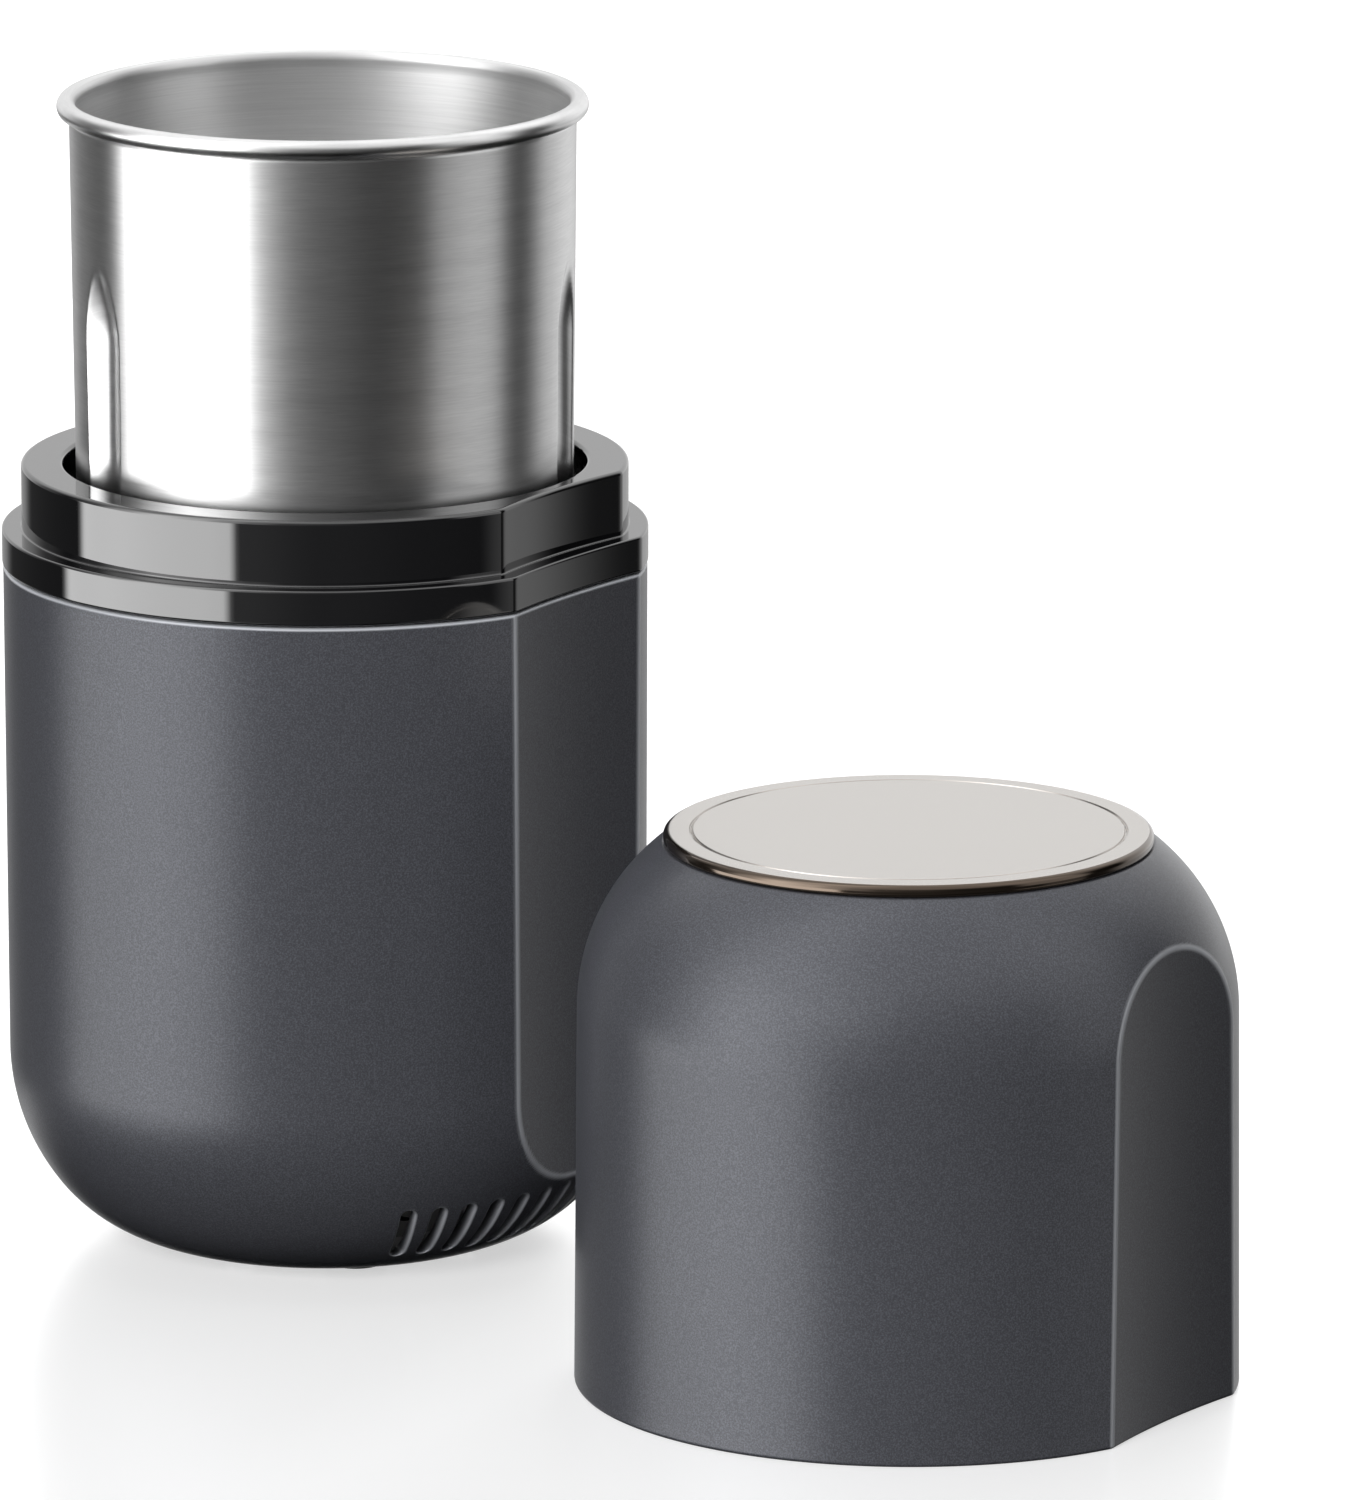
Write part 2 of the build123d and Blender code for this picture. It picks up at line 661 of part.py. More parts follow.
def switch_button():
    """The switch's own button, under the plunger's tip."""
    return Pos(0, plunger_circle, 0) * disc(button_radius, switch_top - 2.2, switch_top + button_proud)


# ---------------------------------------------------------------- motor, fixed parts
def stator_core():
    """Two-pole laminated core: yoke, pole shoes, winding windows and bolt holes."""
    core = tube(stator_radius, stator_bore, core_bottom, core_top)
    gap = sector(stator_bore - 1, window_outer, -28, 28, core_bottom - 1, core_top + 1)
    gaps = spread(gap, (90, 270))
    hooks = [sector(window_inner, window_outer, a, a + 24, core_bottom - 1, core_top + 1)
             for a in (39, 117, 219, 297)]
    flat = block((-stator_radius, stator_radius), (stator_radius - 1.5, stator_radius + 4.5),
                 (core_bottom - 1, core_top + 1))
    flats = [flat, Rot(0, 0, 180) * flat]
    bolt = disc(stator_bolt + 0.15, core_bottom - 1, core_top + 1)
    bolts = spread(bolt, stator_bolt_angles(), stator_bolt_circle)
    return cut(core, gaps + hooks + flats + bolts)


def stator_bolt_angles():
    return [20.0, 160.0, 200.0, 340.0]


def field_coils():
    """Two saddle-shaped field windings, one round each pole."""
    inner = window_inner + coil_clear
    outer = window_outer - coil_clear
    bottom = core_bottom - end_turn
    top = core_top + end_turn
    coil = sector(inner, outer, -84, 84, bottom, top)
    pole = sector(inner - 1, outer + 1, -40, 40, core_bottom - coil_clear, core_top + coil_clear)
    coil -= pole
    return [Rot(0, 0, a) * coil for a in (0, 180)]


def bracket(plate_bottom, skirt_bottom, skirt_top, ears):
    """A motor end bracket: windowed plate, bearing cup and skirt against the core."""
    plate_top = plate_bottom + bracket_plate
    plate = disc(bracket_radius, plate_bottom, plate_top)
    if ears:
        hull = spread(disc(ear_radius, plate_bottom, plate_top), mount_angles, mount_circle)
        arm = block((stator_radius - 7, mount_circle), (-ear_radius, ear_radius), (plate_bottom, plate_top))
        hole = disc(grommet_waist + 0.1, plate_bottom - 1, plate_top + 1)
        plate = fuse([plate] + hull + spread(arm, mount_angles))
        plate = cut(plate, spread(hole, mount_angles, mount_circle))
    window = sector(bearing_radius + 4.5, window_outer, -26, 26, plate_bottom - 1, plate_top + 1)
    plate = cut(plate, spread(window, (0, 90, 180, 270)))
    skirt = tube(bracket_radius, bracket_radius - bracket_skirt, skirt_bottom, skirt_top)
    door_bottom = skirt_bottom - 1 if ears else skirt_bottom + 2
    door = sector(stator_radius - 3, stator_radius + 2, -34, 34, door_bottom, skirt_top + 1)
    skirt = cut(skirt, spread(door, (90, 270)))
    lugs = spread(disc(2.8, skirt_bottom, skirt_top), stator_bolt_angles(), stator_bolt_circle)
    lugs = fuse(lugs) & disc(bracket_radius, skirt_bottom, skirt_top)
    bolt_hole = disc(stator_bolt + 0.1, min(plate_bottom, skirt_bottom) - 1, max(plate_top, skirt_top) + 1)
    return cut(plate + skirt + lugs, spread(bolt_hole, stator_bolt_angles(), stator_bolt_circle))


def bearing_cup(bottom, top, floor_at):
    """The cup in a bracket that holds a bearing bush."""
    cup = disc(bearing_radius + bearing_wall, bottom, top)
    seat = (bottom - 1, top - bearing_lip) if floor_at == "top" else (bottom + bearing_lip, top + 1)
    cup -= disc(bearing_radius + 0.05, *seat)
    return cup - disc(shaft_radius + 1.0, bottom - 1, top + 1)


def upper_motor_bracket():
    """Drive-end bracket, hung from the well on three rubber grommets."""
    body = bracket(upper_plate, core_top, upper_plate + 0.5, True)
    body -= disc(bearing_radius + bearing_wall - 0.5, upper_plate - 1, upper_plate + 4)
    return body + bearing_cup(upper_plate, upper_plate + bearing_cup_length, "top")


def lower_motor_bracket():
    """Brush-end bracket, with brush posts between its plate and skirt doors."""
    body = bracket(lower_plate, lower_plate + bracket_plate - 0.5, core_bottom, False)
    body -= disc(bearing_radius + bearing_wall - 0.5, lower_plate - 1, lower_plate + 4)
    cup_top = lower_plate + bracket_plate
    return body + bearing_cup(cup_top - bearing_cup_length, cup_top, "bottom")


def bearing_bush(bottom):
    """Sintered self-aligning bush: a ball trimmed flat at both ends and bored."""
    middle = bottom + bearing_length / 2
    ball = Pos(0, 0, middle) * Sphere(bearing_radius)
    ball &= disc(bearing_radius + 1, bottom, bottom + bearing_length)
    return ball - disc(shaft_radius + running_clear, bottom - 1, bottom + bearing_length + 1)


def upper_bearing():
    return bearing_bush(upper_plate + 0.2)


def lower_bearing():
    return bearing_bush(lower_plate + bracket_plate - bearing_length - 0.2)


def stator_bolts():
    """Four long screws that clamp the core between the brackets."""
    length = upper_plate - lower_plate
    part = Pos(0, 0, upper_plate + bracket_plate) * screw(3.0, 1.8, stator_bolt, length + bracket_plate)
    nut = extrude(RegularPolygon(3.3, 6), 2.2) - Cylinder(stator_bolt - 0.1, 8)
    nuts = Pos(0, 0, lower_plate - 2.2) * nut
    part += Pos(0, 0, lower_plate - 3.0) * Cylinder(stator_bolt, 3.1, align=UP)
    return spread(part + nuts, stator_bolt_angles(), stator_bolt_circle)


def brush_level():
    return (commutator_bottom + commutator_top) / 2


def brush_holders():
    """Two brass boxes that guide the brushes, each on a post from the lower bracket."""
    level = brush_level()
    half_w = brush_width / 2 + 0.1
    half_h = brush_height / 2 + 0.1
    near = commutator_radius + holder_near
    box = block((near, holder_end), (-half_w - holder_wall, half_w + holder_wall),
                (level - half_h - holder_wall, level + half_h + holder_wall))
    box -= block((near - 1, holder_end - holder_wall), (-half_w, half_w), (level - half_h, level + half_h))
    plate_top = lower_plate + bracket_plate
    post = block((brush_outer - 3, brush_outer + 3), (-3.0, 3.0),
                 (plate_top, level - half_h - holder_wall + 0.1))
    foot = block((near + 0.1, holder_end), (-3.0, 3.0), (plate_top, plate_top + 1.0))
    return [Rot(0, 0, a) * (box + post + foot) for a in (90, 270)]


def carbon_brushes():
    """Two carbon brushes with their faces curved to the commutator."""
    level = brush_level()
    brush = block((commutator_radius - 2, brush_outer), (-brush_width / 2, brush_width / 2),
                  (level - brush_height / 2, level + brush_height / 2))
    brush -= disc(commutator_radius + brush_clear, commutator_bottom, commutator_top + 5)
    return [Rot(0, 0, a) * brush for a in (90, 270)]


def brush_springs():
    """Two springs that press the brushes in."""
    spring = coil_spring(2.1, 0.3, holder_end - holder_wall - brush_outer - 0.1, 4)
    placed = Pos(brush_outer + 0.05, 0, brush_level()) * Rot(0, 90, 0) * spring
    return [Rot(0, 0, a) * placed for a in (90, 270)]


def motor_grommets():
    """Three rubber grommets that keep the motor's hum out of the housing."""
    top = upper_plate + bracket_plate
    bore = screw_shank + 0.6
    lip = grommet_waist + grommet_lip
    low = upper_plate - grommet_flange
    high = top + grommet_flange
    part = lathe((bore, low), (lip, low), (lip, upper_plate), (grommet_waist, upper_plate),
                 (grommet_waist, top), (lip, top), (lip, high), (bore, high))
    return spread(part, mount_angles, mount_circle)


def motor_mount_screws():
    """Three screws up through the grommets into the well's bosses."""
    seat = upper_plate - grommet_flange - 0.1
    part = Pos(0, 0, seat) * Rot(180, 0, 0) * screw(3.4, 1.8, screw_shank, 11.5)
    return spread(part, mount_angles, mount_circle)


# ---------------------------------------------------------------- motor, turning parts
def motor_shaft():
    """Steel shaft from the fan to the drive coupling."""
    shaft = disc(shaft_radius, shaft_bottom, coupling_bottom + coupling_hub - 0.2)
    return chamfer(shaft.edges().group_by(Axis.Z)[0], 0.5)


def armature_core():
    """Slotted laminated core."""
    core = tube(armature_radius, shaft_radius + press_clear, core_bottom, core_top)
    slot = block((armature_radius - slot_depth, armature_radius + 1), (-1.1, 1.1),
                 (core_bottom - 1, core_top + 1))
    return cut(core, [Rot(0, 0, i * 360 / armature_slots) * slot for i in range(armature_slots)])


def armature_windings():
    """Copper in the slots and the rounded end turns at both ends."""
    parts = []
    for low, high in ((core_bottom - end_turn, core_bottom - 0.1), (core_top + 0.1, core_top + end_turn)):
        ring = tube(armature_radius - 1.2, shaft_radius + 0.6, low, high)
        rims = [e for e in ring.edges().filter_by(GeomType.CIRCLE) if e.radius > armature_radius - 2]
        parts.append(fillet(rims, 1.4))
    bar = block((armature_radius - slot_depth + coil_clear, armature_radius - 1.3), (-0.85, 0.85),
                (core_bottom - 1, core_top + 1))
    parts += [Rot(0, 0, i * 360 / armature_slots) * bar for i in range(armature_slots)]
    return fuse(parts)


def commutator():
    """Copper segments on a moulded sleeve, with risers towards the windings."""
    body = tube(commutator_radius, shaft_radius + press_clear, commutator_bottom, commutator_top)
    body += tube(commutator_radius + 0.9, shaft_radius + press_clear,
                 commutator_top - 1.0, commutator_top + 0.8)
    groove = block((commutator_radius - 1.2, commutator_radius + 2), (-0.25, 0.25),
                   (commutator_bottom - 1, commutator_top + 2))
    return cut(body, [Rot(0, 0, (i + 0.5) * 360 / armature_slots) * groove for i in range(armature_slots)])


def cooling_fan():
    """Moulded radial fan: hub, plate and blades that hang towards the bottom cover."""
    hub = disc(2 * shaft_radius, fan_bottom - 0.4, fan_plate_top)
    plate = disc(fan_radius, fan_plate_top - fan_plate, fan_plate_top)
    blade = Rot(0, 0, 12) * block((5.0, fan_radius - 0.6), (-0.6, 0.6), (fan_bottom, fan_plate_top - 1))
    blades = [Rot(0, 0, i * 360 / fan_blades) * blade for i in range(fan_blades)]
    return fuse([hub, plate] + blades) - disc(shaft_radius + press_clear, 0, fan_plate_top + 1)


def star(core, tip, bottom, top, clear=0.0):
    """The couplings' lobed star: a round core with round-ended arms."""
    arm = Pos(tip / 2, 0) * Rectangle(tip, 2.4 + 2 * clear) + Pos(tip, 0) * Circle(1.2 + clear)
    shape = Circle(core + clear)
    for i in range(coupling_lobes):
        shape += Rot(0, 0, i * 360 / coupling_lobes) * arm
    return Pos(0, 0, bottom) * extrude(shape, top - bottom)


def drive_coupling():
    """The motor's half of the drive: a round socket with six rounded notches."""
    body = disc(coupling_outer, coupling_bottom, coupling_top)
    body = fillet(body.edges().group_by(Axis.Z)[-1], 0.8)
    hub_top = coupling_bottom + coupling_hub
    body -= star(coupling_core, coupling_tip, hub_top, coupling_top + 1, coupling_clear)
    return body - disc(shaft_radius + press_clear, coupling_bottom - 1, coupling_bottom + coupling_hub + 1)


# ---------------------------------------------------------------- cup
def flute_tool(grow):
    """The cutter for one flute: a rod that necks down to a point near its top."""
    neck = flute_circle - (cup_radius_bottom + (flute_tip - cup_floor) * cup_slope)
    full = flute_radius + grow
    tip = neck + grow
    middle = ((full + tip) / 2, (flute_full + flute_tip) / 2)
    low = cup_floor - 5
    high = flute_tip + grow * 2
    path = Spline((full, 0, flute_full), (middle[0], 0, middle[1]), (tip, 0, high),
                  tangents=[(0, 0, 1), (0, 0, 1)])
    edges = [
        Line((0, 0, low), (full, 0, low)),
        Line((full, 0, low), (full, 0, flute_full)),
        path,
        Line((tip, 0, high), (0, 0, high)),
        Line((0, 0, high), (0, 0, low)),
    ]
    return revolve(Face(Wire(edges)), Axis.Z)


def cup_form(inset, bottom, top, corner):
    """The cup's tapered wall and rounded bottom as a solid of revolution."""
    lower = cup_radius_bottom + (bottom - cup_floor) * cup_slope - inset
    upper = cup_radius_bottom + (top - cup_floor) * cup_slope - inset
    body = lathe((0, bottom), (lower, bottom), (upper, top), (0, top))
    return fillet(body.edges().group_by(Axis.Z)[0], corner)


def grinding_cup():
    """Pressed steel cup with three locating flutes and a rolled rim."""
    outside = cup_form(0, cup_floor, cup_rim_top - bead_radius, cup_corner)
    outside = cut(outside, spread(flute_tool(0), flute_angles, flute_circle))
    inside = cup_form(cup_wall, cup_inner_floor, cup_rim_top + 1, cup_corner - cup_wall)
    inside = cut(inside, spread(flute_tool(cup_wall), flute_angles, flute_circle))
    bead = Pos(0, 0, cup_rim_top - bead_radius) * Torus(bead_circle, bead_radius)
    cup = outside + bead
    cup -= inside
    return cup - disc(boss_radius + 0.2, cup_floor - 1, cup_inner_floor + 1)


def cup_base():
    """Moulded base under the steel: centres the cup in the well and carries the blade's bush."""
    plate_top = cup_base_top
    plate_bottom = plate_top - cup_base_plate
    body = disc(cup_base_radius, cup_base_bottom, plate_top + cup_base_lip)
    body = chamfer(body.edges().group_by(Axis.Z)[0], 0.8)
    body -= disc(cup_radius_bottom + 0.25, plate_top, plate_top + cup_base_lip + 1)
    body -= tube(cup_base_radius - 3.0, 17.0, cup_base_bottom - 1, plate_bottom)
    body -= disc(14.0, cup_base_bottom - 1, plate_bottom)
    rib = block((16.0, cup_base_radius - 2.0), (-0.8, 0.8), (cup_base_bottom + 1.5, plate_bottom + 0.1))
    body += fuse(spread(rib, (40, 100, 160, 215, 265, 335)))
    notch = disc(flute_radius, cup_base_bottom - 1, plate_top + cup_base_lip + 1)
    body = cut(body, spread(notch, flute_angles, flute_circle))
    body += disc(boss_radius, plate_bottom, cup_inner_floor + 2.9)
    return body - disc(bush_radius + press_clear, cup_base_bottom, cup_inner_floor + 5)


def cup_gasket():
    """Silicone washer between the cup's floor and the clamp nut."""
    return tube(11.5, boss_radius + 0.1, cup_inner_floor, cup_inner_floor + 0.6)


def clamp_nut():
    """Ring nut inside the cup that clamps steel and base together."""
    bottom = cup_inner_floor + 0.6
    nut = tube(12.0, boss_radius + 0.05, bottom, bottom + 2.1)
    rims = [e for e in nut.edges().filter_by(GeomType.CIRCLE) if e.radius > 11]
    nut = fillet(ShapeList(rims).sort_by(Axis.Z)[-1], 0.6)
    notch = block((10.6, 14), (-1.3, 1.3), (bottom - 1, bottom + 4))
    return cut(nut, [Rot(0, 0, a) * notch for a in (0, 90, 180, 270)])


def blade_bearing():
    """Long bronze bush that carries the blade's shaft."""
    bottom = cup_base_top - cup_base_plate - 0.4
    return tube(bush_radius, shaft_radius + running_clear, bottom, bush_top())


def bush_top():
    return cup_inner_floor + 5.3


# ---------------------------------------------------------------- blade group
def blade_level():
    return bush_top() + 0.9


def blade_shaft():
    """Short shaft from the cup's coupling to the blade nut."""
    shaft = disc(shaft_radius, coupling_bottom + coupling_hub + 0.7, blade_level() + blade_thick + 2.6)
    return chamfer(shaft.edges().group_by(Axis.Z)[-1], 0.4)


def thrust_washer():
    return tube(6.0, shaft_radius + 0.03, bush_top() + 0.1, blade_level() - 0.02)


def blade_wing(bend):
    """One wing: a tapered, ground bar that bends up towards its tip."""
    half_root = blade_root_width / 2
    half_tip = blade_tip_width / 2
    half_bend = half_root + (half_tip - half_root) * blade_bend_at / blade_reach
    level = blade_level()
    inner = make_face(Polyline((0, -half_root), (blade_bend_at, -half_bend), (blade_bend_at, half_bend),
                               (0, half_root), close=True))
    reach = blade_reach - blade_bend_at
    outer = make_face(Polyline((-0.4, -half_bend), (reach, -half_tip + 1.5), (reach - 4, half_tip),
                               (-0.4, half_bend), close=True))
    root = Pos(0, 0, level) * extrude(inner, blade_thick)
    tip = extrude(outer, blade_thick)
    tip = chamfer(tip.edges().group_by(Axis.Z)[-1].sort_by(Axis.Y)[-1], 0.9, 0.9)
    return root + Pos(blade_bend_at, 0, level) * Rot(0, -bend, 0) * tip


def blade():
    """Two-winged blade with unequal bends, one wing each side of the shaft."""
    wings = [Rot(0, 0, 180 * i) * blade_wing(bend) for i, bend in enumerate(blade_bends)]
    hub = disc(blade_hub, blade_level(), blade_level() + blade_thick)
    return fuse([hub] + wings) - disc(shaft_radius + press_clear, blade_level() - 1, blade_level() + 8)


def blade_nut():
    """Domed nut that holds the blade down."""
    bottom = blade_level() + blade_thick
    nut = Pos(0, 0, bottom) * extrude(RegularPolygon(5.2, 6), 2.2)
    dome = Pos(0, 0, bottom + 2.0) * Sphere(4.2) & disc(6, bottom + 1.0, bottom + 8)
    return nut + dome - disc(shaft_radius + press_clear, bottom - 1, bottom + 2.8)


def cup_coupling():
    """The cup's half of the drive: the six-lobed star."""
    bottom = coupling_bottom + coupling_hub + 0.4
    body = star(coupling_core, coupling_tip, bottom, coupling_top + 0.2)
    body += disc(coupling_core, bottom, coupling_top + 0.8)
    return body - disc(shaft_radius + press_clear, bottom + 0.3, coupling_top + 2)


def shaft_circlip():
    """Clip under the bush that keeps the blade's shaft down."""
    top = cup_base_top - cup_base_plate - 0.45
    clip = tube(5.2, shaft_radius + press_clear, top - 0.7, top)
    return clip - block((0, 7), (-1.2, 1.2), (top - 2, top + 1))


# ---------------------------------------------------------------- electrics
def power_board():
    """Circuit board in the shell's rails, between the inlet and the motor."""
    board = block((-board_half, board_half), (board_near, board_near + board_thick),
                  (board_bottom, board_top - 0.5))
    pads = [block((x - 1.5, x + 1.5), (board_near - 5.0, board_near + 0.1), (board_top - 10, board_top - 4))
            for x in (-7.5, 7.5)]
    return fuse([board] + pads)


def suppressor_capacitor():
    """Interference capacitor on the board."""
    body = block((-9.0, 5.0), (board_near - 6.6, board_near), (board_bottom + 3, board_bottom + 13))
    return fillet(body.edges().filter_by(Axis.Z), 0.8)


def thermal_cutout():
    """Overheat cutout lying on the board beside the capacitor."""
    return Pos(8.5, board_near - 2.5, board_bottom + 2.5) * Cylinder(2.4, 11.0, align=UP)


# ---------------------------------------------------------------- lid
def lid_form(inset, bottom, top):
    """The lid's outline as a solid of revolution, set inwards by a wall."""
    draft = math.radians(lid_draft)
    centre = (lid_arc_radius, lid_wall_height - lid_shoulder * math.sin(draft))
    radius = lid_shoulder - inset
    end = min(math.degrees(math.asin((top - centre[1]) / radius)), 90)
    start = (centre[0] + radius * math.cos(draft), centre[1] + radius * math.sin(draft))
    lower = start[0] + (start[1] - bottom) * lid_slope
    turn = math.radians(end)
    last = (centre[0] + radius * math.cos(turn), centre[1] + radius * math.sin(turn))
    edges = [
        Line((0, 0, bottom), (lower, 0, bottom)),
        Line((lower, 0, bottom), (start[0], 0, start[1])),
        arc(centre, radius, lid_draft, end),
        Line((last[0], 0, last[1]), (0, 0, last[1])),
        Line((0, 0, last[1]), (0, 0, bottom)),
    ]
    return revolve(Face(Wire(edges)), Axis.Z)


def lid_top():
    """Height of the lid's flat top, under its plate."""
    draft = math.radians(lid_draft)
    return (lid_wall_height - lid_shoulder * math.sin(draft)
            + lid_shoulder * math.sin(math.radians(lid_top_angle)))


def lid_shell():
    """Painted lid with its grip, a recess for the top plate and a screw ledge."""
    top = lid_top()
    solid = lid_form(0, 0, top) - grip_tool(0, -1, top + 1)
    cavity = lid_form(lid_wall, -1, top - lid_recess - lid_ledge) - grip_tool(lid_wall, -2, top + 1)
    shell = solid - cavity
    shell -= disc(lid_plate_spigot + hole_clear, top - lid_recess, top + 1)
    shell -= disc(lid_ledge_bore, top - 10, top + 1)
    holes = spread(disc(screw_shank + hole_clear, top - 10, top + 1), lid_screw_angles, lid_screw_circle)
    return cut(shell, holes)


def lid_top_plate():
    """Gloss disc on the lid, with a fine ring groove near its edge."""
    top = lid_top()
    plate = disc(lid_plate_radius, top + 0.05, top + lid_plate_thick)
    plate = fillet(plate.edges().group_by(Axis.Z)[-1], 0.8)
    plate = fillet(plate.edges().group_by(Axis.Z)[0], 0.5)
    half = plate_groove_width / 2
    plate -= tube(plate_groove_circle + half, plate_groove_circle - half,
                  top + lid_plate_thick - plate_groove_depth, top + lid_plate_thick + 1)
    return plate + disc(lid_plate_spigot, top - 0.1, top + 0.1)


def lid_screws():
    """Four screws under the plate that hold the liner."""
    part = Pos(0, 0, lid_top() - lid_recess) * screw(2.7, 1.3, screw_shank, 6.5)
    return spread(part, lid_screw_angles, lid_screw_circle)


def lid_liner():
    """Inner lining: clears the cup's rim, holds the seal and pushes the interlock plunger."""
    outer = liner_bore + liner_wall
    body = disc(outer, liner_bottom, liner_top)
    body = fillet(body.edges().group_by(Axis.Z)[-1], liner_corner)
    body -= grip_tool(lid_wall + liner_clear, liner_bottom - 1, liner_top + 1)
    inset = lid_wall + liner_clear
    body += d_plate(lid_radius - inset - 0.1, inset, liner_bottom, liner_bottom + liner_flange, 1.0)
    body -= disc(liner_bore, liner_bottom - 1, liner_top - liner_plate)
    boss_top = lid_top() - lid_recess - lid_ledge
    bosses = spread(disc(pillar_radius, liner_top - 0.5, boss_top), lid_screw_angles, lid_screw_circle)
    body = fuse([body] + bosses)
    seal_outer = seal_circle() + seal_width / 2
    ceiling = liner_top - liner_plate
    rib = tube(seal_outer + 1.2, seal_outer + 0.05, ceiling - seal_height + 0.4, ceiling + 0.1)
    body += rib & disc(liner_bore + 0.1, liner_bottom, liner_top)
    pilot = disc(screw_shank + pilot_clear, liner_top - 1.0, boss_top + 1)
    return cut(body, spread(pilot, lid_screw_angles, lid_screw_circle))


def seal_circle():
    """Radius of the seal's middle, just inside the cup's rolled rim."""
    return bead_circle - seal_inset


def lid_seal():
    """Silicone ring that closes on the cup's rolled rim."""
    top = liner_top - liner_plate
    ring = tube(seal_circle() + seal_width / 2, seal_circle() - seal_width / 2, top - seal_height, top)
    lip = ring.edges().group_by(Axis.Z)[0]
    return fillet(lip, 0.8)


# ---------------------------------------------------------------- export
STANDING = [
    body_shell, bottom_cover, rubber_feet, bottom_cover_screws, cord_gland, collar, cup_well, shaft_seal,
    collar_screws, housing_screws, interlock_plunger, plunger_spring, switch_case, switch_button,
    stator_core, field_coils, upper_motor_bracket, lower_motor_bracket, upper_bearing, lower_bearing, stator_bolts,
    brush_holders, carbon_brushes, brush_springs, motor_grommets, motor_mount_screws, motor_shaft,
    armature_core, armature_windings, commutator, cooling_fan, drive_coupling, grinding_cup, cup_base,
    cup_gasket, clamp_nut, blade_bearing, blade_shaft, thrust_washer, blade, blade_nut, cup_coupling,
    shaft_circlip, power_board, suppressor_capacitor, thermal_cutout,
]
LID = [lid_shell, lid_top_plate, lid_screws, lid_liner, lid_seal]


def solids_of(shape):
    """A flat list of solids from one shape or a list of shapes."""
    shapes = shape if isinstance(shape, list) else [shape]
    return [solid for item in shapes for solid in item.solids()]


def main():
    os.makedirs("parts", exist_ok=True)
    here = Pos(0, 0, 0)
    beside = Pos(lid_x, lid_y, 0)
    for make, place in [(m, here) for m in STANDING] + [(m, beside) for m in LID]:
        solids = [place * solid for solid in solids_of(make())]
        shape = Compound(children=solids) if len(solids) > 1 else solids[0]
        export_step(shape, f"parts/{make.__name__}.step")


main()
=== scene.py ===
# %% [markdown]
# # A spice grinder standing open
#
# The machine has three things to hold: a round motor base with a glossy collar, a steel cup that
# drops into the collar, and a domed lid that stands beside it. The solids come packed from the
# CAD model. Here the faces that show are laid over them again as smooth surfaces, each one worked
# out as a formula on a grid, and everything gets a finish made of nodes.

# %% Load the solids
import json
import math

import bmesh
import bpy
import numpy as np
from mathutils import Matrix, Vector


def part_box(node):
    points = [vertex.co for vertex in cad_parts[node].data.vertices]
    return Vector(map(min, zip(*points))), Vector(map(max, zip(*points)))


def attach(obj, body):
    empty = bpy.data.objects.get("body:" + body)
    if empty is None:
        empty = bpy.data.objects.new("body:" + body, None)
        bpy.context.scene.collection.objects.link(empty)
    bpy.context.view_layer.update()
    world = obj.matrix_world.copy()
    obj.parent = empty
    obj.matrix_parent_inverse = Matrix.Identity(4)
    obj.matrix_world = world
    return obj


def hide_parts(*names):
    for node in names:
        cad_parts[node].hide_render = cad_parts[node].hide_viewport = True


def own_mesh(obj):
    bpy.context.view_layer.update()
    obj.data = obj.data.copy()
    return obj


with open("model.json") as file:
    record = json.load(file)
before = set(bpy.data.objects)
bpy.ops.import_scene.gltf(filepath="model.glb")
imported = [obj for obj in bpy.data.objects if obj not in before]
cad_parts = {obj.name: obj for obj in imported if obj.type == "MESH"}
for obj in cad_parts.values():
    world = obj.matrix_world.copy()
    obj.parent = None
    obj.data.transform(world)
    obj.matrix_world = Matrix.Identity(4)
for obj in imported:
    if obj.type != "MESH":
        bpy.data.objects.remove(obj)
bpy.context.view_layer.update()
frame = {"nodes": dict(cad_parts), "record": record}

# %% [markdown]
# ## Sizes
#
# Every length below is in millimetres, because that is how such a product is drawn. The mesh
# helper turns them into metres at the last moment. The values repeat the ones in the CAD source,
# since this file can't read it.

# %% Name the sizes
MM = 0.001
TURN = 2 * np.pi

SHELL_RADIUS, SHELL_TOP, SHELL_WALL, UNDERSIDE = 48.1, 102.95, 2.2, 0.9
SHELL_DRAFT, SHOULDER_TURN = math.radians(0.2), math.radians(37.7)
SHOULDER_TOP, SHOULDER_RADIUS, TOE_RADIUS = 29.2, 32.2, 24.3
COVER_RADIUS, COVER_GAP, COVER_LEDGE, COVER_DEPTH = 26.8, 0.2, 4.0, 2.2

GRIP_FACE, GRIP_HOLLOW, GRIP_EDGE = 44.2, 160.0, 0.2

FLANGE_RADIUS, FLANGE_BOTTOM, FLANGE_TOP = 48.25, 103.3, 108.6
RING_RADIUS, RING_TOP, WELL_BORE = 45.3, 118.4, 39.0
SKIRT_RADIUS, SKIRT_DEPTH = 44.0, 5.3

VENT_WIDTH, VENT_BOTTOM, VENT_TOP = 2.3, 4.6, 13.4
VENT_FIRST, VENT_COUNT = 50.0, 41

